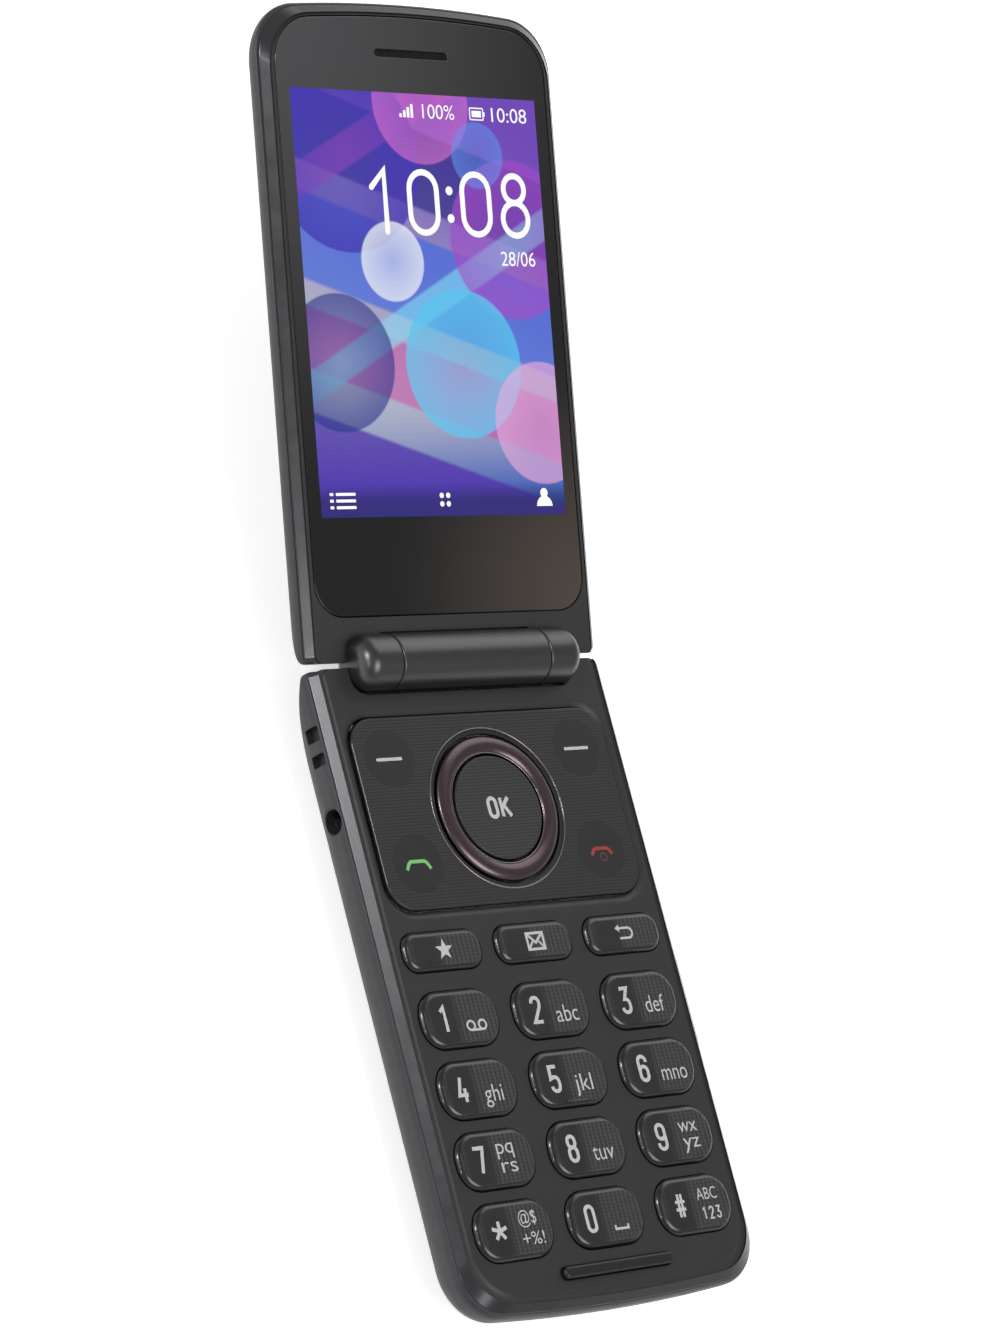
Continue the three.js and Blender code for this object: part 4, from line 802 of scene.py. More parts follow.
class Shape:
    """A mesh under construction, in a half's millimetres."""

    def __init__(self, half: Half) -> None:
        """Start with nothing."""
        self.half = half
        self.mesh = bmesh.new()

    def ring(self, places: Iterable[Place]) -> list[bmesh.types.BMVert]:
        """Vertices at a row of places."""
        return [self.mesh.verts.new(self.half.local(place)) for place in places]

    def walls(self, rings: Sequence[list[bmesh.types.BMVert]], closed: bool = True) -> None:
        """Faces between successive rings.

        Args:
            rings: Rings of equal count.
            closed: Whether the last vertex of a ring joins its first.
        """
        count = len(rings[0])
        for low, high in zip(rings, rings[1:]):
            for i in range(count if closed else count - 1):
                j = (i + 1) % count
                self.mesh.faces.new((low[i], low[j], high[j], high[i]))

    def cap(self, ring: list[bmesh.types.BMVert]) -> None:
        """Flat face over a ring."""
        self.mesh.faces.new(ring)

    def fill(self, rings: Sequence[list[bmesh.types.BMVert]]) -> None:
        """Flat triangles inside a first ring and outside all the others."""
        verts = [vert for ring in rings for vert in ring]
        edges, start = [], 0
        for ring in rings:
            edges += [(start + i, start + (i + 1) % len(ring)) for i in range(len(ring))]
            start += len(ring)
        outer = list(range(len(rings[0])))
        outer = outer if self.half.side > 0 else outer[::-1]
        found = delaunay_2d_cdt([vert.co.xy for vert in verts], edges, [outer], 2, CLOSE)
        sources = [verts[origin[0]] for origin in found[3]]
        for face in found[2]:
            self.mesh.faces.new([sources[i] for i in face])

    def stack(self, outlines: Levels, axis: Axis = Axis.DEPTH) -> "Shape":
        """Closed solid through outlines of equal count.

        Args:
            outlines: Outlines with their levels along the axis.
            axis: Direction in which the stack runs.

        Returns:
            This shape.
        """
        rings = [self.ring(axis.place(point, level) for point in outline) for outline, level in outlines]
        self.walls(rings)
        self.cap(rings[0])
        self.cap(rings[-1])
        return self

    def plate(self, outer: Border, *holes: Border) -> "Shape":
        """Plate with shaped edges.

        Args:
            outer: Edge all round, from its top rim to its bottom one.
            holes: Edges of the holes.

        Returns:
            This shape.
        """
        tops, bottoms = [], []
        for border in (outer, *holes):
            rings = [self.ring((x, y, depth) for x, y in border.outline(grow))
                     for grow, depth in border.profile]
            self.walls(rings)
            tops.append(rings[0])
            bottoms.append(rings[-1])
        self.fill(tops)
        self.fill(bottoms)
        return self

    def turned(self, profile: Profile, x: float, y: float, axis: Axis = Axis.DEPTH,
               steps: int = 96) -> "Shape":
        """Piece turned about an axis.

        Args:
            profile: Radii and levels along the axis, closed or from the axis back to it.
            x, y: Place of the axis in the two other directions.
            axis: Direction in which it runs.
            steps: Steps round it.

        Returns:
            This shape.
        """
        self.walls([self.ring(axis.place(point, level)
                              for point in circle(x, y, max(radius, MERGE / 4), steps))
                    for radius, level in profile])
        return self

    def rod(self, profile: Profile, distance: float, depth: float) -> "Shape":
        """Piece turned about an axis that runs across, from places across and radii."""
        return self.turned([(radius, x) for x, radius in profile], distance, depth, Axis.ACROSS)

    def box(self, x0: float, x1: float, near: float, far: float, top: float, bottom: float,
            radius: float = 0.3) -> "Shape":
        """Block across the side walls with rounded edges."""
        outline = rounded(near, far, top, bottom, radius, 5)
        return self.stack([(outline, x0), (outline, x1)], Axis.ACROSS)

    def raw(self) -> bpy.types.Mesh:
        """Mesh with its doubles merged and its faces pointing out. The shape is used up."""
        bmesh.ops.remove_doubles(self.mesh, verts=self.mesh.verts, dist=MERGE)
        bmesh.ops.recalc_face_normals(self.mesh, faces=self.mesh.faces)
        mesh = bpy.data.meshes.new("in_work")
        self.mesh.to_mesh(mesh)
        self.mesh.free()
        return mesh

    def cut(self, *tools: "Shape | bpy.types.Mesh") -> "Shape":
        """Cut other shapes out of this one.

        Args:
            tools: Shapes or meshes in the same millimetres.

        Returns:
            This shape.
        """
        target = temporary(self.raw())
        cutters = [temporary(tool.raw() if isinstance(tool, Shape) else tool) for tool in tools]
        for cutter in cutters:
            modifier = target.modifiers.new("cut", "BOOLEAN")
            modifier.solver = "EXACT"
            modifier.object = cutter
        mesh = settled(target)
        for cutter in cutters:
            bpy.data.objects.remove(cutter)
        self.mesh = bmesh.new()
        self.mesh.from_mesh(mesh)
        return self

    def dress(self, name: str, finish: Finish, body: str, *stands_for: str,
              sharp: float = SHARP_ANGLE) -> bpy.types.Object:
        """Finish the shape as one piece, and dress it as Piece.dress does."""
        return Piece(name, self.raw(), self.half, sharp).dress(finish, body, *stands_for)


def lip(radius: float, steps: int = 3) -> list[Point]:
    """Draw-in and depth along a quarter circle, from a rim down."""
    angles = [math.radians(90 * i / steps) for i in range(steps + 1)]
    return [(radius * (1 - math.sin(a)), radius * (1 - math.cos(a))) for a in angles]


def rounded_edge(bottom: float, gap: float = 0.0, draw: float = 0.12, steps: int = 3, top: float = 0.0,
                 out: int = 1) -> list[Point]:
    """Edge of a plate or of a hole in it: a rounded rim, then straight down.

    Args:
        bottom: Depth at which it ends.
        gap: How far its straight part is grown.
        draw: Radius of the rim's rounding.
        steps: Steps in the rounding.
        top: Depth at which it starts.
        out: 1 round a hole, whose rim opens outwards, or -1 round a plate, whose rim draws in.

    Returns:
        Growths and depths.
    """
    return [(gap + out * inward, top + down) for inward, down in lip(draw, steps)] + [(gap, bottom)]


class NodeGroups:
    """Geometry node trees for what repeats."""

    AROUND = 64
    ROWS = 9
    SHOULDER_START = math.radians(35)
    CAP_MERGE = 0.002
    CORNER_STEPS = 6

    @staticmethod
    def start(name: str, sockets: Sequence[tuple[str, str]]) -> tuple[Tree, dict[str, Field]]:
        """New geometry tree with named inputs.

        Args:
            name: The tree's name.
            sockets: Names and types of the inputs.

        Returns:
            The tree and its inputs by name.
        """
        group = bpy.data.node_groups.new(name, "GeometryNodeTree")
        for title, kind in sockets:
            group.interface.new_socket(title, in_out="INPUT", socket_type=kind)
        group.interface.new_socket("Finish", in_out="INPUT", socket_type="NodeSocketMaterial")
        group.interface.new_socket("Mesh", in_out="OUTPUT", socket_type="NodeSocketGeometry")
        tree = Tree(group)
        inputs = tree.node("NodeGroupInput").outputs
        return tree, {socket.name: Field(tree, socket) for socket in inputs if socket.name}

    @staticmethod
    def end(tree: Tree, geometry: Socket, finish: Field) -> bpy.types.NodeTree:
        """Realize the copies, set the material and close the tree.

        Args:
            tree: The tree.
            geometry: What it has made.
            finish: Its material input.

        Returns:
            The node group.
        """
        real = tree.node("GeometryNodeRealizeInstances", {0: geometry}).outputs[0]
        painted = tree.node("GeometryNodeSetMaterial", {"Geometry": real, "Material": finish}).outputs[0]
        tree.node("NodeGroupOutput", {0: painted})
        return tree.tree

    @staticmethod
    def merged(tree: Tree, parts: Sequence[Socket], distance: float) -> Socket:
        """Meshes joined into one, with the points that lie within a distance merged."""
        both = tree.node("GeometryNodeJoinGeometry")
        for part in parts:
            tree.link(part, both.inputs[0])
        joined = {"Geometry": both.outputs[0], "Distance": distance}
        return tree.node("GeometryNodeMergeByDistance", joined).outputs[0]

    @classmethod
    def key_cap(cls) -> bpy.types.NodeTree:
        """Tree of one key: straight sides, a rounded edge and a flat top, from its sizes."""
        sizes = ("Half width", "Half height", "Corner", "Proud", "Shoulder", "Edge", "Skirt", "Across",
                 "Distance")
        tree, given = cls.start("key_cap", [(name, "NodeSocketFloat") for name in sizes])
        start = cls.SHOULDER_START
        grid = tree.node("GeometryNodeMeshGrid", {"Size X": 1, "Size Y": 1, "Vertices X": cls.AROUND + 1,
                                                  "Vertices Y": cls.ROWS}).outputs[0]
        across, along, _ = tree.split(tree.node("GeometryNodeInputPosition").outputs[0])
        turn = (across + (0.5 + 0.5 / cls.AROUND)) * (2 * math.pi)
        row = (along + 0.5) * (cls.ROWS - 1)
        bend = (row - 1).math("MAXIMUM", 0) / (cls.ROWS - 2) * (math.pi / 2 - start) + start
        below = row.math("LESS_THAN", 0.5)
        draw = bend.math("COSINE") * given["Edge"] * (-1 / math.cos(start)) + given["Edge"]
        climb = (bend.math("SINE") - math.sin(start)) / (1 - math.sin(start))
        rise = given["Shoulder"] + (given["Proud"] - given["Shoulder"]) * climb
        level = rise - (rise + given["Skirt"]) * below
        walls = cls.around(tree, grid, turn, given, draw, level)
        disc = tree.node("GeometryNodeMeshCircle", {"Vertices": cls.AROUND, "Radius": 1},
                         fill_type="NGON").outputs[0]
        turn = (tree.field("GeometryNodeInputIndex") + 0.5) * (2 * math.pi / cls.AROUND)
        top = cls.around(tree, disc, turn, given, given["Edge"], given["Proud"])
        return cls.end(tree, cls.merged(tree, (walls, top), cls.CAP_MERGE), given["Finish"])

    @staticmethod
    def around(tree: Tree, mesh: Socket, turn: Field, given: dict[str, Field],
               draw: Field, level: Field) -> Socket:
        """Move a mesh's points onto a rounded rectangle.

        Args:
            tree: The tree.
            mesh: The mesh to move.
            turn: Angle of each point.
            given: The tree's inputs.
            draw: How far the outline is drawn in at each point.
            level: Height of each point.

        Returns:
            The moved mesh.
        """
        parts = []
        for wave, half in (("COSINE", "Half width"), ("SINE", "Half height")):
            way = turn.math(wave)
            straight = way.math("SIGN") * (given[half] - given["Corner"])
            parts.append(straight + way * (given["Corner"] - draw))
        place = tree.vector(parts[0] + given["Across"], parts[1] - given["Distance"], level)
        return tree.node("GeometryNodeSetPosition", {"Geometry": mesh, "Position": place}).outputs[0]

    @classmethod
    def row_of_slots(cls) -> bpy.types.NodeTree:
        """Tree of a row of upright rounded bars, to cut slots with or to stand as bars."""
        sizes = ("Pitch", "Half width", "Half length", "Corner", "Low", "High", "Across", "Distance")
        tree, given = cls.start("row_of_slots", [("Count", "NodeSocketInt"),
                                                 *[(name, "NodeSocketFloat") for name in sizes]])
        reach = (given["Count"] - 1) * given["Pitch"] / 2
        start = tree.vector(given["Across"] - reach, given["Distance"], given["Low"])
        step = tree.vector(given["Pitch"])
        line = tree.node("GeometryNodeMeshLine", {"Count": given["Count"], "Start Location": start,
                                                  "Offset": step}).outputs[0]
        shape = tree.node("GeometryNodeCurvePrimitiveQuadrilateral",
                          {"Width": given["Half width"] * 2, "Height": given["Half length"] * 2}).outputs[0]
        corners = tree.node("GeometryNodeFilletCurve", {"Curve": shape, "Count": cls.CORNER_STEPS,
                                                        "Radius": given["Corner"]}, mode="POLY").outputs[0]
        filled = tree.node("GeometryNodeFillCurve", {"Curve": corners}, mode="NGONS").outputs[0]
        height = given["High"] - given["Low"]
        bar = tree.node("GeometryNodeExtrudeMesh", {"Mesh": filled, "Offset Scale": height,
                                                    "Individual": False}).outputs[0]
        bottom = tree.node("GeometryNodeFlipFaces", {"Mesh": filled}).outputs[0]
        whole = cls.merged(tree, (bar, bottom), MERGE)
        copies = tree.node("GeometryNodeInstanceOnPoints", {"Points": line, "Instance": whole})
        return cls.end(tree, copies.outputs[0], given["Finish"])

    @staticmethod
    def grow(group: bpy.types.NodeTree, values: dict[str, object]) -> bpy.types.Mesh:
        """Plain mesh that a tree makes from its named inputs.

        Args:
            group: The node group.
            values: Values by input name.

        Returns:
            The mesh.
        """
        holder = temporary(bpy.data.meshes.new("in_work"))
        modifier = holder.modifiers.new("grow", "NODES")
        modifier.node_group = group
        for item in group.interface.items_tree:
            if item.item_type == "SOCKET" and item.in_out == "INPUT" and item.name in values:
                modifier[item.identifier] = values[item.name]
        return settled(holder)


class Marks:
    """Thin printed or lit marks, lying on a face of a half."""

    THICKNESS = 0.015
    CAPITAL = 0.682
    WEIGHT = -0.004
    EXTRUSION = 0.01
    CURVE_STEPS = 6

    def __init__(self, half: Half, level: float) -> None:
        """Start with no marks.

        Args:
            half: The half they lie on.
            level: Height of what they lie on, over the half's face.
        """
        self.half = half
        self.level = level
        self.mesh = bmesh.new()
        self.patches: list[Outline] = []

    def words(self, text: str, x: float, row: float, height: float, width: float) -> "Marks":
        """Add a line of lettering that fits a width.

        Args:
            text: The characters.
            x: Middle of the line.
            row: Distance of the line that the characters stand on.
            height: Height of a capital.
            width: Width of the whole line.

        Returns:
            These marks.
        """
        font = bpy.data.curves.new("lettering", "FONT")
        font.body = text
        font.offset = self.WEIGHT
        font.extrude = self.EXTRUSION
        font.resolution_u = self.CURVE_STEPS
        mesh = settled(temporary(font))
        places = [vertex.co.copy() for vertex in mesh.vertices]
        left = min(place.x for place in places)
        right = max(place.x for place in places)
        size = height / self.CAPITAL
        for vertex, place in zip(mesh.vertices, places):
            across = x + width * ((place.x - left) / (right - left) - 0.5)
            rise = self.THICKNESS if place.z > 0 else 0.0
            vertex.co = (across, self.half.side * row + place.y * size, self.level + rise)
        self.mesh.from_mesh(mesh)
        return self

    def patch(self, *outlines: Outline) -> "Marks":
        """Add flat patches, from outlines of (across, distance)."""
        for outline in outlines:
            places = [(x, self.half.side * y) for x, y in outline]
            twice = sum(a[0] * b[1] - b[0] * a[1] for a, b in zip(places, places[1:] + places[:1]))
            self.patches.append(places if twice > 0 else places[::-1])
        return self

    def line(self, points: Outline, width: float, closed: bool = False, soft: bool = False) -> "Marks":
        """Add a drawn line."""
        if soft:
            self.patch(*[circle(x, y, width / 2, 16) for x, y in (points[0], points[-1])])
        return self.patch(*pen_quads(points, width, closed))

    def merge_patches(self) -> None:
        """Join all patches, which may overlap, into thin closed solids of one height."""
        points = [Vector(point) for patch in self.patches for point in patch]
        faces, start = [], 0
        for patch in self.patches:
            faces.append(list(range(start, start + len(patch))))
            start += len(patch)
        found = delaunay_2d_cdt(points, [], faces, 0, CLOSE)
        inside = []
        for face in found[2]:
            middle = sum((found[0][i] for i in face), Vector((0, 0))) / len(face)
            if any(encloses(patch, *middle) for patch in self.patches):
                inside.append(face)
        low, high = [[self.mesh.verts.new((point.x, point.y, level)) for point in found[0]]
                     for level in (self.level, self.level + self.THICKNESS)]
        sides = set()
        for face in inside:
            self.mesh.faces.new([high[i] for i in face])
            self.mesh.faces.new([low[i] for i in face[::-1]])
            sides |= {(a, b) for a, b in zip(face, face[1:] + face[:1])}
        for a, b in sides:
            if (b, a) not in sides:
                self.mesh.faces.new((high[a], low[a], low[b], high[b]))
        loose = [vert for vert in self.mesh.verts if not vert.link_faces]
        bmesh.ops.delete(self.mesh, geom=loose, context="VERTS")

    def piece(self, name: str, finish: Finish, body: str) -> bpy.types.Object:
        """Finish the marks as one piece on a body."""
        if self.patches:
            self.merge_patches()
        mesh = bpy.data.meshes.new(name)
        self.mesh.to_mesh(mesh)
        self.mesh.free()
        return Piece(name, mesh, self.half).dress(finish, body)


@dataclass(frozen=True)
class Numeral:
    """Condensed digits and signs drawn with one pen, of a height and width over all."""

    width: float = 2.1
    height: float = 4.35
    pen: float = 0.58
    soft: bool = False

    def draw(self, marks: Marks, sign: str, x: float, row: float) -> None:
        """Draw one digit or sign.

        Args:
            marks: Where it is drawn.
            sign: The digit or sign.
            x, row: Its middle.
        """
        a = (self.width - self.pen) / 2
        b = (self.height - self.pen) / 2
        for points, closed in self.lines(sign, a, b):
            drawn = [(x + px, row + marks.half.side * py) for px, py in points]
            marks.line(drawn, self.pen, closed, self.soft and not closed)

    def lines(self, sign: str, a: float, b: float) -> list[tuple[Outline, bool]]:
        """Pen lines of a digit or sign about its middle, upwards positive.

        Args:
            sign: The digit or sign.
            a, b: Half width and half height to the middle of the pen.

        Returns:
            Lines, each with whether it is closed.
        """
        top = arc(0, b - a, a, 180, 0, 12)
        low = arc(0, a - b, a, 0, -180, 12)
        bowl = 0.1 * b
        small, large = min(a * 0.92, (b - bowl) / 2), min(a, (b + bowl) / 2)
        hook = [(-a, b - a * 1.1), *top[1:-1]]
        shapes: dict[str, list[tuple[Outline, bool]]] = {
            "0": [(top + low, True)],
            "1": [([(-a * 0.75, b - a * 0.95), (a * 0.2, b), (a * 0.2, -b)], False)],
            "2": [([*hook, (a, b - a * 1.1), (a * 0.85, b * 0.2), (-a, -b), (a * 1.1, -b)], False)],
            "3": [([(-a, b), (a * 0.85, b), (-a * 0.1, bowl),
                    *arc(0, bowl - a, a, 80, 0, 8), *low], False)],
            "4": [([(-a * 0.1, b), (-a, -b * 0.42), (a * 1.15, -b * 0.42)], False),
                  ([(a * 0.5, bowl), (a * 0.5, -b)], False)],
            "5": [([(a * 0.9, b), (-a * 0.85, b), (-a * 0.95, bowl * 0.4),
                    *arc(0, bowl * 1.6 - a, a, 120, 0, 8), *low], False)],
            "6": [([(a, b - a * 1.25), *top[::-1], *low[::-1],
                    *arc(0, bowl * 1.6 - a, a, 0, 170, 10)], False)],
            "7": [([(-a, b * 0.86), (-a, b), (a, b), (-a * 0.1, -b)], False)],
            "8": [(arc(0, b - small, small, 180, 0, 12) + arc(0, bowl + small, small, 0, -180, 12), True),
                  (arc(0, bowl - large, large, 180, 0, 12) + arc(0, large - b, large, 0, -180, 12), True)],
            "#": [([(-a * 0.45, -b), (-a * 0.3, b)], False), ([(a * 0.35, -b), (a * 0.5, b)], False),
                  ([(-a * 1.15, b * 0.33), (a * 1.2, b * 0.33)], False),
                  ([(-a * 1.25, -b * 0.33), (a * 1.1, -b * 0.33)], False)],
            "*": [([(0, 0), (b * math.sin(turn), b * math.cos(turn))], False)
                  for turn in (math.radians(72 * i) for i in range(5))],
            "O": [(top + low, True)],
            "K": [([(-a, b), (-a, -b)], False), ([(a * 1.1, b), (-a * 0.9, -b * 0.1)], False),
                  ([(-a * 0.35, b * 0.2), (a * 1.15, -b)], False)],
            ":": [(circle(0, b * 0.42, self.pen * 0.22, 16), True),
                  (circle(0, -b * 0.5, self.pen * 0.22, 16), True)],
        }
        if sign == "9":
            return [([(-x, -y) for x, y in points], closed) for points, closed in shapes["6"]]
        return shapes[sign]


@dataclass
class Barrel:
    """Hinge barrel: a middle on the base between two knuckles of the lid."""

    radius: float = 4.4
    clearance: float = 0.4
    half_length: float = 21.9
    middle_half: float = 14.66
    seam: float = 0.12
    end_round: float = 2.7
    seam_round: float = 0.3
    round_steps: int = 10
    bore: float = 2.4
    knuckle_wall: float = 1.5

    def rim(self, x: float, out: int, radius: float) -> list[Point]:
        """Rounding of an end that faces 1 or -1: places across and radii, from the side inwards."""
        return [(x - out * inward, self.radius - down) for inward, down in lip(radius, self.round_steps)]

    def middle(self) -> None:
        """Build the middle, which belongs to the base."""
        end = self.middle_half
        left = self.rim(-end, -1, self.seam_round)[::-1]
        right = self.rim(end, 1, self.seam_round)
        profile = [(-end, self.bore), *left, *right, (end, self.bore), (-end, self.bore)]
        Shape(BASE).rod(profile, 0, -BASE.axis_above).dress("hinge_barrel", Finishes.BARREL, "base")

    def knuckles(self) -> None:
        """Build the two knuckles, which belong to the lid."""
        shape = Shape(LID)
        start = self.middle_half + self.seam
        for hand in (-1, 1):
            inner = self.rim(hand * start, -hand, self.seam_round)[::-1]
            outer = self.rim(hand * self.half_length, hand, self.end_round)
            back = hand * (self.half_length - self.knuckle_wall)
            profile = [(back, 0), (back, self.bore), (hand * start, self.bore), *inner, *outer,
                       (hand * self.half_length, 0)]
            shape.rod(profile, 0, -LID.axis_above)
        shape.dress("lid_knuckles", Finishes.BARREL, "lid")

    def room(self, half: Half) -> Shape:
        """Cylinder that a half is cut back by to clear the barrel."""
        reach = self.half_length + self.seam
        radius = self.radius + self.clearance
        ends = [(-reach, 0), (-reach, radius), (reach, radius), (reach, 0)]
        return Shape(half).rod(ends, 0, -half.axis_above)

    def notch(self, half: Half, half_length: float, corner: float) -> Outline:
        """Outline of the notch that the barrel's room makes in a face, from left to right.

        Args:
            half: The half whose face it is.
            half_length: Half of its length.
            corner: Radius of its two corners.

        Returns:
            The points.
        """
        depth = math.sqrt((self.radius + self.clearance) ** 2 - half.axis_above ** 2)
        right = arc(half_length - corner, depth - corner, corner, 90, 0, 8)
        left = [(-x, y) for x, y in right[::-1]]
        return [(-half_length, half.end_gap), *left, *right, (half_length, half.end_gap)]


@dataclass
class Skin:
    """Face plate, edge trim and outer shells that both halves have."""

    half: Half
    rim_share: float = 1.0
    rim: Profile = ((-1.12, 0.0), (-1.05, 0.02), (-0.8, 0.25), (-0.72, 0.29), (-0.3, 0.38), (0.0, 0.39))
    near_share: float = 0.2
    trim_slope: Profile = ((0.66, 1.08), (0.57, 1.16), (0.55, 1.26))
    trim_tops: tuple[float, float] = (0.14, 0.1)
    trim_turn: float = 1.0
    trim_gap: float = 0.1
    trim_overlap: float = 0.01
    trim_sharp: float = 50.0
    turn_left_out: int = 3

    def face_border(self, notch: Outline) -> Border:
        """Outer edge of the face plate, down to the depth where its sides stand."""
        half = self.half

        def grown(grow: float) -> Outline:
            """Outline of the face, grown all round."""
            inset = half.face_inset - grow
            return half.arched(half.half_width - inset, half.end_gap - min(0.0, grow) * self.near_share,
                               half.length - inset, half.near_corner, half.corner, notch)

        rim = [(grow * self.rim_share, depth) for grow, depth in self.rim]
        return Border(grown, [*rim, (0.0, half.strip_depth)])

    def edge_trim(self, name: str) -> None:
        """Build the sloped strip round the face, which is open towards the hinge."""
        half = self.half
        shape = Shape(half)
        shift = half.strip_inset - BASE.strip_inset
        hidden = half.face_inset - self.trim_overlap
        slope = [(inset + shift, depth) for inset, depth in self.trim_slope]
        rings = []
        for inset, depth in [*((hidden, top) for top in self.trim_tops), *slope, (hidden, slope[-1][1])]:
            points = half.arched(half.half_width - inset, half.end_gap + self.trim_gap,
                                 half.length - inset, self.trim_turn, half.corner)
            kept = points[self.turn_left_out:-self.turn_left_out]
            rings.append(shape.ring((x, y, depth) for x, y in kept))
        shape.walls([*rings, rings[0]], closed=False)
        for end in (0, -1):
            shape.cap([ring[end] for ring in rings])
        shape.dress(name, Finishes.TRIM, half.body, sharp=self.trim_sharp)

    def levels(self, top: float, bottom: float, steps: int, lips: Point) -> Levels:
        """Outer outlines between two depths, with rounded lips at the seams.

        Args:
            top, bottom: Depths.
            steps: Steps between them.
            lips: Radii of the lips at the top and at the bottom.

        Returns:
            Outlines with their depths.
        """
        first, last = top + lips[0], bottom - lips[1]
        depths = [first + (last - first) * i / steps for i in range(1, steps)]
        rims = [(top + down, inward) for inward, down in lip(lips[0])]
        rims += [(depth, 0.0) for depth in depths]
        rims += [(bottom - down, inward) for inward, down in lip(lips[1])[::-1]]
        return [(self.half.skin(depth, inward), depth) for depth, inward in rims]

    def rooms(self, floor: float, top: float, wall: float, steps: int) -> Levels:
        """Outlines of the space inside, from its floor up to its top, in even steps."""
        depths = [floor + (top - floor) * i / steps for i in range(steps + 1)]
        return [(self.half.room(depth, wall), depth) for depth in depths]


@dataclass
class KeypadCase:
    """Face plate, rear case and battery cover of the base, with the openings in its sides."""

    skin: Skin
    barrel: Barrel
    wall: float = 1.5
    seam_top: float = 1.3
    cover_top: float = 6.9
    cover_wall: float = 1.1
    floor: Point = (4.8, 5.6)
    full_width_depth: float = 3.4
    lip_radius: float = 0.1
    side_steps: int = 14
    cover_steps: int = 26
    room_steps: int = 5
    gap: float = 0.12
    dish: Profile = ((1.5, 0.0), (1.3, 0.012), (1.05, 0.06), (0.8, 0.16), (0.55, 0.3), (0.4, 0.4),
                     (0.28, 0.45), (0.25, 0.6))
    eyelets: tuple[Point, ...] = ((8.6, 10.9), (12.8, 14.7))
    eyelet_depths: Point = (1.6, 4.4)
    eyelet_floor: float = 0.15
    jack: Place = (23.2, 3.4, 1.9)
    jack_flare: Point = (0.9, 0.35)
    charge_opening: tuple[float, float, float, float, float] = (28.0, 4.5, 1.8, 5.0, 1.3)
    rocker_opening: tuple[float, float, float, float, float] = (56.002, 8.25, 1.75, 4.85, 0.9)
    microphone: Place = (14.0, 2.85, 0.5)
    microphone_ends: Point = (-3.0, 1.0)
    sound_slots: dict[str, float] = field(default_factory=lambda: {
        "Count": 5, "Pitch": 2.6, "Half width": 0.6, "Half length": 2.8, "Corner": 0.58,
        "Across": 0.0, "Distance": -87.0})
    slot_reach: Point = (-1.0, 1.7)
    bumper: Oblong = Oblong(10.9, 94.4, 96.2, 0.9)
    bumper_lip: float = 0.08
    bumper_depths: Point = (-1.0, 0.7)
    bumper_round: float = 0.45
    bumper_steps: int = 5

    def build(self, panel: "FunctionPanel", keys: "KeySet") -> None:
        """Build all pieces of the case.

        Args:
            panel: The function panel, whose seat the face has.
            keys: The keys, whose holes the face has.
        """
        self.face(panel, keys)
        self.skin.edge_trim("keypad_edge_trim")
        self.barrel.middle()
        self.rear_case()
        self.battery_cover()
        self.closing_bumper()

    def face(self, panel: "FunctionPanel", keys: "KeySet") -> None:
        """Build the face plate with the panel's dish and the holes of the keys."""
        bottom = BASE.strip_depth
        holes = [Border(key.outline, rounded_edge(bottom, self.gap)) for key in keys.keys]
        holes.append(Border(panel.outer.outline, [*self.dish, (self.dish[-1][0], bottom)]))
        holes.append(Border(self.bumper.outline, rounded_edge(bottom, self.gap, self.bumper_lip)))
        notch = self.barrel.notch(BASE, self.barrel.half_length + self.barrel.seam, self.barrel.end_round)
        plate = Shape(BASE).plate(self.skin.face_border(notch), *holes)
        plate.dress("keypad_face", Finishes.CASE, "base", "keypad_front_case")

    def openings(self) -> list[Shape]:
        """Shapes of the eyelets, both sockets, the rocker's opening and the microphone's hole."""
        side = BASE.half_width
        inside, outside = side - self.wall - OVERRUN, side + OVERRUN
        pocket = side - self.wall + self.eyelet_floor
        tools = [Shape(BASE).box(-outside, -pocket, near, far, *self.eyelet_depths)
                 for near, far in self.eyelets]
        row, depth, radius = self.jack
        flare, chamfer = self.jack_flare
        mouth = [(-outside, 0), (-outside, radius + flare), (-side + chamfer, radius), (-inside, radius),
                 (-inside, 0)]
        tools.append(Shape(BASE).rod(mouth, row, depth))
        for row, length, top, low, corner in (self.charge_opening, self.rocker_opening):
            tools.append(Shape(BASE).box(inside, outside, row - length, row + length, top, low, corner))
        x, depth, radius = self.microphone
        hole = circle(x, depth, radius, 24)
        ends = [(hole, BASE.length + reach) for reach in self.microphone_ends]
        return [*tools, Shape(BASE).stack(ends, Axis.DISTANCE)]

    def rear_case(self) -> None:
        """Build the side walls with their openings and the floor under the board."""
        bottom = self.cover_top - SEAM
        upper, lower = [[(BASE.room(depth, self.wall), depth) for depth in depths]
                        for depths in ((self.floor[0], self.full_width_depth, self.seam_top),
                                       (bottom, self.floor[1]))]
        outer = self.skin.levels(self.seam_top, bottom, self.side_steps, (self.lip_radius,) * 2)
        shape = Shape(BASE).stack([*upper, *outer, *lower])
        shape.cut(self.barrel.room(BASE), *self.openings())
        shape.dress("rear_case_shell", Finishes.BACK, "base", "rear_case")

    def battery_cover(self) -> None:
        """Build the boat-shaped cover with a row of sound slots."""
        bottom = BASE.thickness
        inner = self.skin.rooms(bottom - self.cover_wall, self.cover_top, self.cover_wall, self.room_steps)
        outer = self.skin.levels(self.cover_top, bottom, self.cover_steps, (self.lip_radius, 0.0))
        low, high = (reach - bottom for reach in self.slot_reach)
        slots = NodeGroups.grow(NodeGroups.row_of_slots(), {**self.sound_slots, "Low": low, "High": high})
        shape = Shape(BASE).stack([*inner, *outer]).cut(slots)
        shape.dress("battery_cover_shell", Finishes.BACK, "base", "battery_cover")

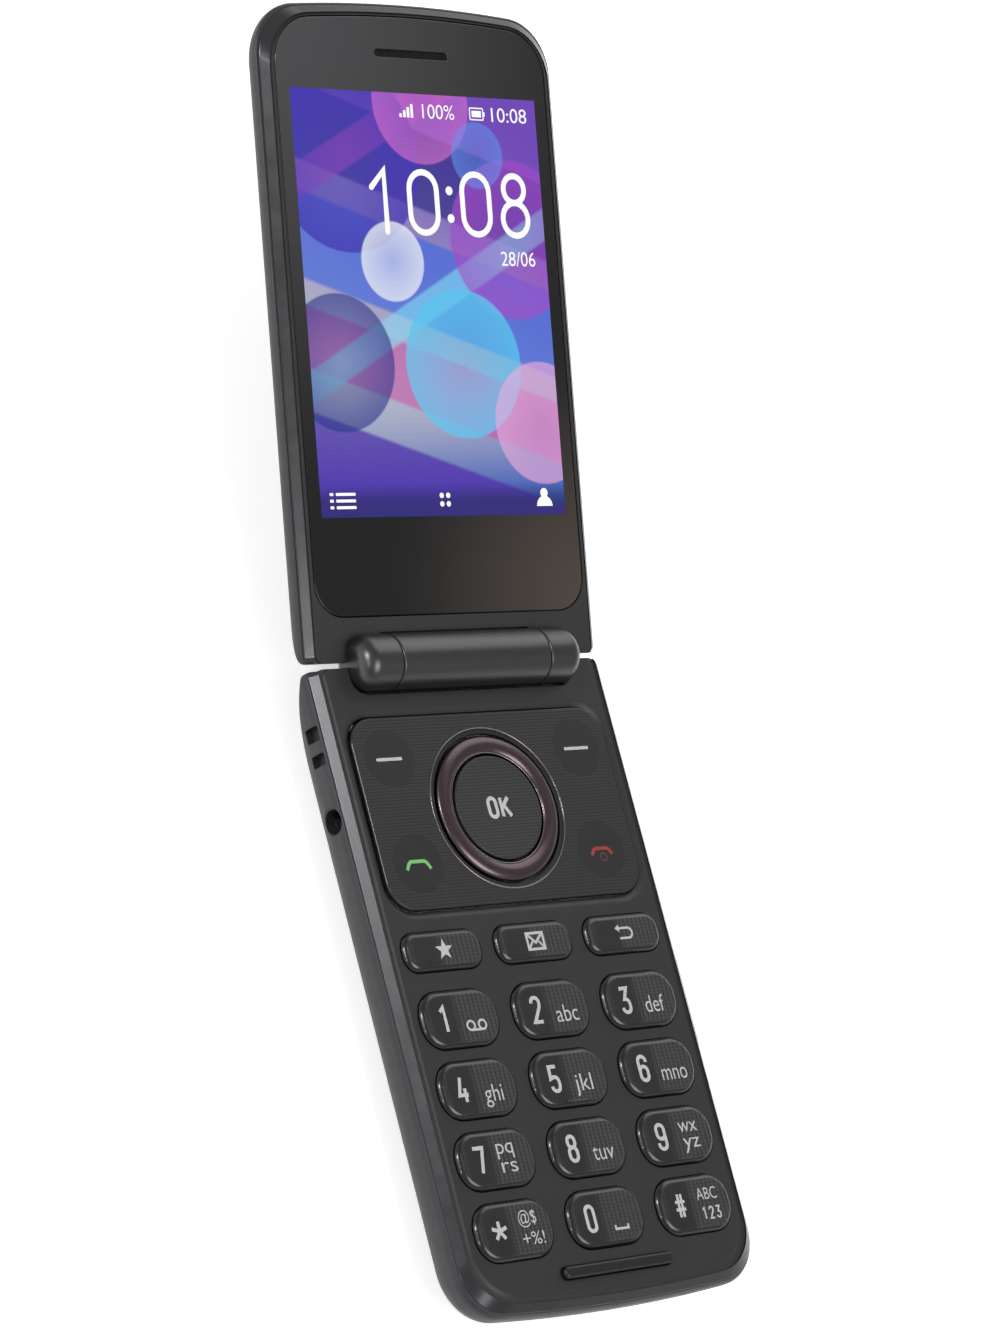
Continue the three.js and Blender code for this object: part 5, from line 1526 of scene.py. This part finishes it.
    def closing_bumper(self) -> None:
        """Build the rubber bar below the keys."""
        top, foot = self.bumper_depths
        profile = rounded_edge(foot, draw=self.bumper_round, steps=self.bumper_steps,
                               top=top, out=-1)
        bar = Shape(BASE).plate(Border(self.bumper.outline, profile))
        bar.dress("bumper_bar", Finishes.RUBBER, "base", "closing_bumper")


@dataclass
class FunctionPanel:
    """Panel with its ring and centre key, and the marks printed on it."""

    outer: Oblong = Oblong(25.1, 8.4, 38.702, 4.6, 14)
    proud: float = 0.2
    foot: float = 0.5
    round_over: float = 0.35
    round_steps: int = 5
    turn_steps: int = 144
    soft_key: Point = (18.7, 15.1)
    call_key: Point = (18.3, 31.6)
    centre: float = 23.751
    ring_outer: float = 11.55
    ring_inner: float = 8.75
    ring_proud: float = 0.7
    ring_foot: float = 1.6
    moat_width: float = 1.2
    moat_floor: float = 0.95
    moat_step: Point = (0.12, 0.04)
    seam: float = 0.45
    ok_proud: float = 0.5
    ok_foot: float = 1.8
    hollow: float = 0.14
    hollow_rings: tuple[float, ...] = (0, 0.3, 0.6, 0.85)
    bead_radius: float = 0.12
    bead_steps: int = 12
    ring_bead: Point = (0.06, -0.16)
    moat_bead: Point = (0.02, 0.02)
    bar_half: Point = (2.5, 0.25)
    bar_corner: float = 0.24
    handset: Profile = ((-2.3, 0.85), (-1.75, -0.1), (-1.3, -0.42), (1.3, -0.42), (1.75, -0.1), (2.3, 0.85))
    handset_pen: float = 0.55
    end_scale: Point = (0.9, 0.8)
    end_drop: float = 0.1
    power_ring: tuple[float, float, float, float] = (0.2, 1.15, 0.62, 0.26)
    letters: Numeral = Numeral(width=2.1, height=3.6, pen=0.62)
    letter_drop: float = 0.12

    def finish(self) -> WovenFinish:
        """Woven finish that stays smooth at the four press points."""
        spots = []
        for x, row in (self.soft_key, self.call_key):
            y = (HINGE["pos_m"][1] / MM) - row
            spots += [(-x, y), (x, y)]
        return WovenFinish("function_panel", "key_plastic", "212124", roughness=0.38, grain_depth=0.016,
                           columns=0.35, top=FACE_LEVEL + self.proud, smooth_colour="1b1b1d", coat=0.1,
                           edge_roughness=0.26, smooth_spots=tuple(spots))

    def build(self) -> None:
        """Build the panel, the ring, the centre key and their marks."""
        self.plate()
        self.ring()
        self.ok_key()
        self.marks()
        self.ok_letters()

    def turned(self, profile: Profile) -> Shape:
        """Piece turned about the ring's axis."""
        return Shape(BASE).turned(profile, 0, self.centre, steps=self.turn_steps)

    def plate(self) -> None:
        """Build the panel round the ring's moat."""
        rim = rounded_edge(self.foot, draw=self.round_over, steps=self.round_steps, top=-self.proud, out=-1)
        width, (step_in, step_down) = self.ring_outer + self.moat_width, self.moat_step
        moat = [(width, -self.proud), (width - step_in, -step_down),
                (self.ring_outer + self.moat_floor, 0.0), (self.ring_outer + self.seam, 0.0),
                (self.ring_outer + self.seam, self.foot)]
        hole = Border(lambda radius: circle(0, self.centre, radius, self.turn_steps), moat)
        plate = Shape(BASE).plate(Border(self.outer.outline, rim), hole)
        plate.dress("panel_plate", self.finish(), "function_panel", "function_panel")

    def ring(self) -> None:
        """Build the domed ring and the two light metal beads beside it, which draw painted highlight lines
        along the ring's inner edge and the moat's rim and also reflect the lamps.
        """
        middle = (self.ring_inner + self.ring_outer) / 2
        half = (self.ring_outer - self.ring_inner) / 2
        dome = [(middle + half * math.cos(math.radians(a)), -self.ring_proud * math.sin(math.radians(a)))
                for a in range(0, 181, 9)]
        foot = (self.ring_outer, self.ring_foot)
        self.turned([foot, *dome, (self.ring_inner, self.ring_foot), foot]).dress(
            "ring_dome", Finishes.RING, "nav_ring", "nav_ring")
        wider, depth = self.ring_bead
        self.bead("ring_bead", self.ring_inner + wider, depth, "nav_ring")
        wider, depth = self.moat_bead
        edge = self.ring_outer + self.moat_width
        self.bead("moat_bead", edge + wider, depth - self.proud, "function_panel")

    def bead(self, name: str, radius: float, depth: float, body: str) -> None:
        """Build a fine bead of light metal round an edge: a painted highlight line that also reflects the
        lamps.
        """
        profile = circle(radius, depth, self.bead_radius, self.bead_steps)
        self.turned([*profile, profile[0]]).dress(name, Finishes.BEAD, body, sharp=180)

    def ok_key(self) -> None:
        """Build the centre key, a little hollowed."""
        radius = self.ring_inner - self.seam
        rim = [(radius - inward, down - self.ok_proud)
               for inward, down in lip(self.round_over, self.round_steps)]
        hollow = [(radius * share, self.hollow * (1 - share ** 2) - self.ok_proud)
                  for share in self.hollow_rings]
        self.turned([*hollow, *rim, (radius, self.ok_foot), (0, self.ok_foot)]).dress(
            "ok_key_cap", Finishes.OK, "ok_key", "ok_key")

    def marks(self) -> None:
        """Print the soft-key bars, the two handsets and the small ring under the red one."""
        x, row = self.soft_key
        width, height = self.bar_half
        bars = [Oblong(width, row - height, row + height, self.bar_corner, 5, hand * x).outline(0)
                for hand in (-1, 1)]
        Marks(BASE, self.proud).patch(*bars).piece("soft_key_bars", Finishes.INK, "function_panel")
        x, row = self.call_key
        green = [(px - x, row + py) for px, py in self.handset]
        wide, high = self.end_scale
        red = [(px * wide + x, row + self.end_drop + py * high) for px, py in self.handset]
        across, down, radius, pen = self.power_ring
        power = circle(x + across, row + down, radius, 32)
        for name, points, width, closed, ink in (
                ("call_mark", green, self.handset_pen, False, Finishes.GREEN_INK),
                ("end_mark", red, self.handset_pen, False, Finishes.RED_INK),
                ("power_mark", power, pen, True, Finishes.DIM_RED_INK)):
            Marks(BASE, self.proud).line(points, width, closed).piece(name, ink, "function_panel")

    def ok_letters(self) -> None:
        """Print the centre key's letters over its hollow."""
        marks = Marks(BASE, self.ok_proud - self.letter_drop)
        for letter, x in (("O", -1.2), ("K", 1.3)):
            self.letters.draw(marks, letter, x, self.centre)
        marks.piece("ok_letters", Finishes.INK, "ok_key")


class Legend(NamedTuple):
    """A line of small lettering on a key, from the key's middle."""

    text: str
    x: float
    row: float
    height: float
    width: float


@dataclass
class Key:
    """One key of the keypad."""

    name: str
    x: float
    row: float
    half_width: float
    half_height: float
    corner: float

    def outline(self, grow: float) -> Outline:
        """Outline of the key, grown all round."""
        return Oblong(self.half_width, self.row - self.half_height, self.row + self.half_height,
                      self.corner, 12, self.x).outline(grow)


@dataclass
class KeySet:
    """All keys of the keypad with their legends."""

    number_size: Place = (7.42, 4.4, 3.9)
    shortcut_size: Place = (7.55, 3.02, 2.6)
    shortcuts: tuple[str, ...] = ("favourite", "message", "back")
    proud: float = 0.75
    shoulder: float = 0.12
    edge: float = 0.95
    skirt: float = 1.4
    digit_x: float = -3.3
    sign_x: float = -3.1
    touch_half: Point = (2.0, 0.16)
    touch_corner: float = 0.15
    touch_shift: Point = (-0.1, -0.75)
    touch_edge: Profile = ((-0.1, -0.2), (-0.03, -0.16), (0.0, -0.08), (0.0, 0.1))
    keys: list[Key] = field(default_factory=list)
    legends: dict[str, tuple[Legend, ...]] = field(default_factory=lambda: {
        "2": (Legend("abc", 2.5, 2.2, 2.6, 4.3),),
        "3": (Legend("def", 2.4, 2.2, 2.6, 3.8),),
        "4": (Legend("ghi", 2.4, 2.2, 2.6, 3.5),),
        "5": (Legend("jkl", 2.2, 2.2, 2.6, 3.4),),
        "6": (Legend("mno", 2.7, 2.2, 2.6, 5.1),),
        "7": (Legend("pq", 1.7, -0.65, 2.3, 3.2), Legend("rs", 1.9, 2.2, 2.3, 3.0)),
        "8": (Legend("tuv", 2.5, 2.2, 2.6, 4.1),),
        "9": (Legend("wx", 2.4, -0.3, 2.3, 3.7), Legend("yz", 2.5, 2.2, 2.3, 3.3)),
        "star": (Legend("@$", 2.6, -0.7, 1.9, 3.4), Legend("+%!", 3.0, 2.5, 1.9, 4.2)),
        "hash": (Legend("ABC", 2.6, -0.45, 1.8, 4.1),)})

    def __post_init__(self) -> None:
        """Lay out the keys where the frame has them: one shortcut row and four number rows of three."""
        for name in frame["nodes"]:
            if name.startswith("key_"):
                low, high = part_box(name)
                x = (low.x + high.x) / 2 / MM
                row = (HINGE["pos_m"][1] - (low.y + high.y) / 2) / MM
                small = name.removeprefix("key_") in self.shortcuts
                self.keys.append(Key(name, x, row, *(self.shortcut_size if small else self.number_size)))

    def build(self) -> None:
        """Build every key with its legend, and the bar on the middle one."""
        group = NodeGroups.key_cap()
        for key in self.keys:
            mesh = NodeGroups.grow(group, {
                "Half width": key.half_width, "Half height": key.half_height, "Corner": key.corner,
                "Proud": self.proud, "Shoulder": self.shoulder, "Edge": self.edge, "Skirt": self.skirt,
                "Across": key.x, "Distance": key.row, "Finish": Finishes.KEY.material()})
            Piece("cap_" + key.name, mesh, BASE).dress(Finishes.KEY, key.name, key.name)
            self.legend(key)
            if key.name == "key_5":
                self.touch_bar(key)

    def legend(self, key: Key) -> None:
        """Print what a key shows."""
        marks = Marks(BASE, self.proud)
        name = key.name.removeprefix("key_")
        if name.isdigit():
            Numeral().draw(marks, name, key.x + self.digit_x, key.row)
        signs = {"favourite": self.favourite, "message": self.message, "back": self.back,
                 "star": self.asterisk, "hash": self.cross_hatch, "1": self.voicemail, "0": self.space}
        if name in signs:
            signs[name](marks, key.x, key.row)
        for line in self.legends.get(name, ()):
            marks.words(line.text, key.x + line.x, key.row + line.row, line.height, line.width)
        marks.piece("legend_" + key.name, Finishes.INK, key.name)

    def touch_bar(self, key: Key) -> None:
        """Raise the small bar by which the middle key is felt."""
        across, along = self.touch_shift
        width, height = self.touch_half
        row = key.row + key.half_height + along
        rise = [(grow, down - self.proud) for grow, down in self.touch_edge]
        bar = Oblong(width, row - height, row + height, self.touch_corner, 4, key.x + across)
        Shape(BASE).plate(Border(bar.outline, rise)).dress("touch_bar", Finishes.KEY, key.name)

    def favourite(self, marks: Marks, x: float, row: float) -> None:
        """Print a filled star."""
        star = [(x + radius * math.sin(math.pi * i / 5), row - radius * math.cos(math.pi * i / 5))
                for i, radius in enumerate((1.7, 0.7) * 5)]
        marks.patch(star)

    def message(self, marks: Marks, x: float, row: float) -> None:
        """Print an envelope in a square."""
        width, height = 1.6, 1.25
        marks.line([(x - width, row - height), (x + width, row - height), (x + width, row + height),
                    (x - width, row + height)], 0.42, closed=True)
        marks.line([(x - width, row - height), (x, row + 0.25), (x + width, row - height)], 0.4)
        for hand in (-1, 1):
            marks.line([(x + hand * width, row + height), (x + hand * 0.6, row + 0.05)], 0.34)

    def back(self, marks: Marks, x: float, row: float) -> None:
        """Print a hooked arrow."""
        bend = arc(x + 0.85, row + 0.05, 0.8, 90, -90, 10)
        marks.line([(x - 1.0, row + 0.85), *bend, (x - 0.9, row - 0.75)], 0.36)
        marks.patch([(x - 1.7, row - 0.75), (x - 0.8, row - 1.35), (x - 0.8, row - 0.15)])

    def voicemail(self, marks: Marks, x: float, row: float) -> None:
        """Print two loops on a line."""
        x, row = x + 2.5, row + 1.3
        for hand in (-1, 1):
            marks.line(circle(x + hand * 1.1, row, 0.7, 28), 0.34, closed=True)
        marks.line([(x - 1.1, row + 0.7), (x + 1.1, row + 0.7)], 0.34)

    def space(self, marks: Marks, x: float, row: float) -> None:
        """Print the sign of an empty character."""
        tray = [(1.1, 1.45), (1.1, 2.05), (3.6, 2.05), (3.6, 1.45)]
        marks.line([(x + px, row + py) for px, py in tray], 0.36)

    def asterisk(self, marks: Marks, x: float, row: float) -> None:
        """Print an asterisk."""
        Numeral(height=3.5).draw(marks, "*", x + self.sign_x, row - 0.1)

    def cross_hatch(self, marks: Marks, x: float, row: float) -> None:
        """Print the number sign, and three small digits beside it."""
        Numeral(height=4.0, pen=0.46).draw(marks, "#", x + self.sign_x, row)
        for index, sign in enumerate("123"):
            Numeral(1.0, 2.0, 0.27).draw(marks, sign, x + 1.35 + 1.4 * index, row + 1.65)


@dataclass
class Lid:
    """Lid with its face, back, main window, outer window and camera."""

    skin: Skin
    barrel: Barrel
    wall: float = 1.3
    back_wall: float = 1.2
    back_steps: int = 22
    room_steps: int = 4
    back_lips: Point = (0.08, 0.0)
    notch_corner: float = 0.2
    window_half: float = 26.8
    window_ends: Point = (7.15, 98.85)
    window_corners: Point = (5.2, 7.5)
    window_arch: float = 1.5
    window_depths: Point = (0.03, 0.83)
    window_gap: float = 0.15
    window_rim: float = 0.05
    window_round: float = 0.22
    round_steps: int = 4
    picture_hole: float = 0.01
    display: Oblong = Oblong(24.4, 22.1, 87.1, 0.1, 2)
    display_drop: float = 0.002
    ear_slot: Oblong = Oblong(7.3, 92.58, 93.82, 0.62)
    net_depths: Point = (0.5, 0.62)
    net_gap: float = 0.05
    net_bars: dict[str, float] = field(default_factory=lambda: {
        "Count": 33, "Pitch": 0.42, "Half width": 0.1, "Half length": 0.5, "Corner": 0.05, "Low": -0.5,
        "High": -0.38, "Across": 0.0, "Distance": 93.2})
    outer_glass: Oblong = Oblong(15.5, 40.0, 76.0, 3.0)
    outer_depths: tuple[float, float, float] = (0.95, 0.8, 0.03)
    outer_seat: float = 0.15
    outer_round: float = 0.25
    outer_ledge: float = 1.8
    camera_row: float = 86.0
    camera_seat: Point = (5.15, 0.75)
    camera_hole: float = 3.6
    bezel: Profile = ((3.75, -0.6), (5.0, -0.6), (5.0, 0.15), (4.88, 0.3), (4.7, 0.35), (4.2, 0.35),
                      (3.95, 0.25), (3.75, 0.05), (3.75, -0.6))
    lens: Profile = ((0, -0.6), (3.6, -0.6), (3.6, -0.2), (3.4, -0.1), (2.6, -0.03), (1.4, 0), (0, 0))
    lamp_x: float = 11.0
    lamp_hole: float = 1.75
    lamp_steps: tuple[float, float, float] = (1.6, 0.2, 0.12)
    clock: Numeral = Numeral(width=6.4, height=10.3, pen=0.95, soft=True)
    clock_row: float = 70.35
    status_row: float = 83.4
    list_rows: tuple[float, float, float] = (25.6, 24.6, 23.6)

    def build(self) -> None:
        """Build all pieces of the lid."""
        self.face()
        self.skin.edge_trim("lid_edge_trim")
        self.barrel.knuckles()
        self.back()
        self.window()
        self.picture()
        self.signs()
        self.earpiece()
        self.outer_pieces()

    def window_outline(self, grow: float) -> Outline:
        """Outline of the main window, grown all round."""
        near, far = self.window_ends
        low, high = self.window_corners
        return replace(LID, arch=self.window_arch).arched(self.window_half + grow, near - grow, far + grow,
                                                          low + grow, high + grow)

    def face(self) -> None:
        """Build the frame round the window."""
        notch = self.barrel.notch(LID, self.barrel.middle_half + self.barrel.seam, self.notch_corner)
        hole = Border(self.window_outline, rounded_edge(LID.strip_depth, self.window_gap,
                                                         self.window_rim))
        plate = Shape(LID).plate(self.skin.face_border(notch), hole)
        plate.dress("lid_face", Finishes.CASE, "lid", "lid_front_case")

    def back(self) -> None:
        """Build the rear cover with the seats of the outer window, the camera and its lamp."""
        top, bottom = LID.strip_depth + SEAM, LID.thickness
        inside = bottom - self.back_wall
        inner = self.skin.rooms(inside, top, self.wall, self.room_steps)
        shell = Shape(LID).stack([*inner, *self.skin.levels(top, bottom, self.back_steps, self.back_lips)])
        ring, ring_depth = self.camera_seat
        through = inside - OVERRUN
        prisms = [(self.outer_glass.outline(self.outer_seat), bottom - self.outer_depths[0]),
                  (self.outer_glass.outline(-self.outer_ledge), through),
                  (circle(0, self.camera_row, ring), bottom - ring_depth),
                  (circle(0, self.camera_row, self.camera_hole), through),
                  (circle(self.lamp_x, self.camera_row, self.lamp_hole, 48), through)]
        tools = [Shape(LID).stack([(outline, level), (outline, bottom + OVERRUN)])
                 for outline, level in prisms]
        shell.cut(self.barrel.room(LID), *tools)
        shell.dress("lid_back_shell", Finishes.BACK, "lid", "lid_rear_cover")

    def window(self) -> None:
        """Build the black glass with the openings for the picture and the earpiece."""
        top, bottom = self.window_depths
        glass = Shape(LID).plate(
            Border(self.window_outline, rounded_edge(bottom, draw=self.window_round,
                                                     steps=self.round_steps, top=top, out=-1)),
            Border(self.ear_slot.outline, rounded_edge(bottom, top=top)),
            Border(self.display.outline, [(self.picture_hole, top), (self.picture_hole, bottom)]))
        glass.dress("window_glass", Finishes.WINDOW, "lid", "display_window")

    def picture(self) -> None:
        """Build the lit picture with its own UV map."""
        top, bottom = self.window_depths
        edge = [(0.0, top + self.display_drop), (0.0, bottom)]
        plate = Shape(LID).plate(Border(self.display.outline, edge))
        mesh = plate.dress("display_picture_plate", Finishes.PICTURE, "lid").data
        chart = mesh.uv_layers.new(name="picture")
        back = LID.matrix().inverted()
        half_width, near = self.display.half_width, self.display.near
        for loop in mesh.loops:
            place = back @ mesh.vertices[loop.vertex_index].co
            chart.data[loop.index].uv = ((place.x + half_width) / (2 * half_width),
                                         (place.y - near) / (self.display.far - near))

    def signs(self) -> None:
        """Light the clock, the status row and the soft-key signs, with no words."""
        marks = Marks(LID, -self.window_depths[0])
        for sign, x in zip("10:08", (-7.9, 0.2, 5.5, 10.8, 18.7)):
            self.clock.draw(marks, sign, x, self.clock_row)
        row = self.status_row
        for text, x, base, width in (("100%", 4.5, row, 6.4), ("10:08", 18.9, row, 7.2),
                                     ("28/06", 18.6, 60.9, 7.0)):
            marks.words(text, x, base, 2.2, width)
        for index in range(4):
            x = -3.3 + index * 0.75
            marks.patch(rounded(x, x + 0.5, row, row + 0.6 + 0.5 * index, 0.05, 1))
        marks.line(rounded(10.9, 13.6, row + 0.2, row + 2.0, 0.15, 2), 0.2, closed=True)
        marks.patch(rounded(11.3, 13.2, row + 0.6, row + 1.6, 0.05, 2),
                    rounded(13.7, 13.95, row + 0.75, row + 1.45, 0.05, 2))
        for row in self.list_rows:
            marks.patch(*[rounded(left, right, row - 0.22, row + 0.22, 0.1, 2)
                          for left, right in ((-22.6, -21.9), (-21.4, -17.6))])
        marks.patch(*[circle(x, row, 0.42, 20) for x in (-0.65, 0.65) for row in (23.95, 25.25)])
        marks.patch(circle(20.2, 25.45, 0.75, 28),
                    [(18.6, 23.4), (21.8, 23.4), *arc(20.2, 23.4, 1.6, 0, 180, 14)[1:-1]])
        marks.piece("display_signs", Finishes.MARK, "lid")

    def earpiece(self) -> None:
        """Build the net in the earpiece's slot: a plate with a row of bars."""
        net = Shape(LID).plate(Border(self.ear_slot.outline, [(-self.net_gap, z) for z in self.net_depths]))
        net.mesh.from_mesh(NodeGroups.grow(NodeGroups.row_of_slots(), self.net_bars))
        net.dress("earpiece_net", Finishes.NET, "lid", "earpiece_mesh")

    def outer_pieces(self) -> None:
        """Build the outer window, the camera's ring and lens, and the lamp's lens."""
        back = LID.thickness
        _, foot, face = self.outer_depths
        rim = [(-inward, back - face - down)
               for inward, down in lip(self.outer_round, self.round_steps)[::-1]]
        glass = Shape(LID).plate(Border(self.outer_glass.outline, [(0.0, back - foot), *rim]))
        glass.dress("outer_window_glass", Finishes.GLASS, "lid", "outer_window")
        radius, step, groove = self.lamp_steps
        steps = [(radius - step * i, -0.02 - groove * (i % 2)) for i in range(8)]
        lamp = ((0, -1.0), (radius, -1.0), *steps, (0, -0.05))
        for name, profile, x, count, finish, node in (
                ("camera_bezel", self.bezel, 0, 96, Finishes.DARK_METAL, "camera_ring"),
                ("camera_glass", self.lens, 0, 96, Finishes.GLASS, "camera_lens"),
                ("lamp_lens", lamp, self.lamp_x, 48, Finishes.LAMP, "flash_lens")):
            places = [(reach, back + rise) for reach, rise in profile]
            Shape(LID).turned(places, x, self.camera_row, steps=count).dress(name, finish, "lid", node)


@dataclass
class Rocker:
    """Volume rocker in the right side."""

    row: float = 56.002
    half_length: float = 8.0
    depths: Point = (2.0, 4.6)
    corner: float = 0.9
    inner: float = 27.35
    face: Profile = ((0.0, 0.1), (-0.25, 0.45), (-0.6, 0.6))
    end_slope: float = 2.2
    side_slope: float = 0.6

    def build(self) -> None:
        """Build the cap, whose ends slope back to the case."""
        top, bottom = self.depths
        outlines = []
        for grow, x in ((0.0, self.inner), *((grow, BASE.half_width + rise) for grow, rise in self.face)):
            length, side = self.half_length + grow * self.end_slope, grow * self.side_slope
            outlines.append((rounded(self.row - length, self.row + length, top - side, bottom + side,
                                     self.corner + side), x))
        cap = Shape(BASE).stack(outlines, Axis.ACROSS)
        cap.dress("rocker_cap", Finishes.KEY, "volume_rocker", "volume_rocker")


class InnerPieces:
    """CAD nodes that stay as they are and only get a finish."""

    def dress(self) -> None:
        """Give each node the finish of its own material slot."""
        for name, node in frame["nodes"].items():
            slot = node.data.materials[0].name if node.data.materials else "case_plastic"
            finish = NODE_FINISHES.get(slot, Finishes.CASE)
            for index in range(len(node.data.materials)):
                node.data.materials[index] = finish.material()
            LOG.info("node %s is covered with %s", name, finish.name)


class Lamp(NamedTuple):
    """Square soft lamp: its place and target in metres, its side and its watts."""

    name: str
    place: Place
    target: Place
    size: float
    power: float


@dataclass
class Studio:
    """Pale floor, soft lamps and the camera."""

    camera_place: Place = (-0.4765, -0.1233, 0.5426)
    camera_turn: Place = (25.391, -37.348, -18.1)
    lens: float = 130.2
    floor_half: float = 3.0
    floor_level: float = -0.0001
    floor_grey: float = 0.86
    floor_glow: float = 0.55
    floor_roughness: float = 0.9
    sky: Point = (0.95, 0.36)
    sky_top: float = 0.45
    lamps: tuple[Lamp, ...] = (
        Lamp("high_lamp", (0.8, 1.0, 0.8), (0, 0.05, 0), 1.0, 4),
        Lamp("side_lamp", (-0.8, 0.34, 0.62), (0, 0.05, 0), 0.24, 4),
        Lamp("front_lamp", (0.12, -0.52, 1.0), (0, 0, 0), 0.6, 5),
        Lamp("edge_lamp", (-0.8, -0.14, 0.6), (0, 0.05, 0), 0.12, 0.8))

    def build(self) -> None:
        """Build the floor, the lamps, the world and the camera."""
        self.floor()
        for lamp in self.lamps:
            self.hang(lamp)
        self.world()
        self.camera()
        bpy.context.scene.view_settings.view_transform = "Standard"

    def floor(self) -> None:
        """Lay the floor under the phone, which looks white to the camera and in reflections."""
        mesh = bpy.data.meshes.new("floor")
        reach = self.floor_half
        corners = [(-reach, -reach), (reach, -reach), (reach, reach), (-reach, reach)]
        mesh.from_pydata([(x, y, self.floor_level) for x, y in corners], [], [(0, 1, 2, 3)])
        floor = placed("floor", mesh)
        material = bpy.data.materials.new("pale_floor")
        material.use_nodes = True
        tree = Tree(material.node_tree)
        shader = material.node_tree.nodes["Principled BSDF"]
        shader.inputs["Base Color"].default_value = (self.floor_grey, self.floor_grey, self.floor_grey, 1)
        shader.inputs["Roughness"].default_value = self.floor_roughness
        path = tree.node("ShaderNodeLightPath").outputs
        seen = Field(tree, path["Is Camera Ray"]).math("MAXIMUM", Field(tree, path["Is Glossy Ray"]))
        light = tree.node("ShaderNodeEmission", {"Color": (1, 1, 1, 1), "Strength": seen * self.floor_glow})
        both = tree.node("ShaderNodeAddShader", {0: shader.outputs[0], 1: light.outputs[0]})
        tree.link(both.outputs[0], material.node_tree.nodes["Material Output"].inputs[0])
        mesh.materials.append(material)

    def hang(self, lamp: Lamp) -> None:
        """Hang a lamp and point it at its target."""
        data = bpy.data.lights.new(lamp.name, "AREA")
        data.size = lamp.size
        data.energy = lamp.power
        hung = placed(lamp.name, data)
        hung.location = lamp.place
        way = Vector(lamp.target) - Vector(lamp.place)
        hung.rotation_euler = way.to_track_quat("-Z", "Y").to_euler()

    def world(self) -> None:
        """Fill the room with soft light, pale all round and dimmer overhead."""
        world = bpy.data.worlds.new("room")
        world.use_nodes = True
        bpy.context.scene.world = world
        tree = Tree(world.node_tree)
        up = tree.split(tree.node("ShaderNodeTexCoord").outputs["Generated"])[2]
        low, high = self.sky
        strength = up.blend(0.0, self.sky_top) * (high - low) + low
        shader = world.node_tree.nodes["Background"]
        shader.inputs["Color"].default_value = (1, 1, 1, 1)
        tree.link(strength.socket, shader.inputs["Strength"])

    def camera(self) -> None:
        """Set the camera where the photograph was taken from."""
        data = bpy.data.cameras.new("camera")
        data.lens = self.lens
        camera = placed("camera", data)
        camera.location = self.camera_place
        camera.rotation_euler = [math.radians(angle) for angle in self.camera_turn]
        bpy.context.scene.camera = camera


def main() -> None:
    """Build the phone's sub-assemblies in order."""
    logging.basicConfig(level=logging.INFO, format="%(name)s: %(message)s")
    Studio().build()
    InnerPieces().dress()
    barrel = Barrel()
    panel = FunctionPanel()
    keys = KeySet()
    KeypadCase(Skin(BASE), barrel).build(panel, keys)
    panel.build()
    keys.build()
    Rocker().build()
    Lid(Skin(LID, rim_share=0.3), barrel).build()


if __name__ == "__main__":
    main()
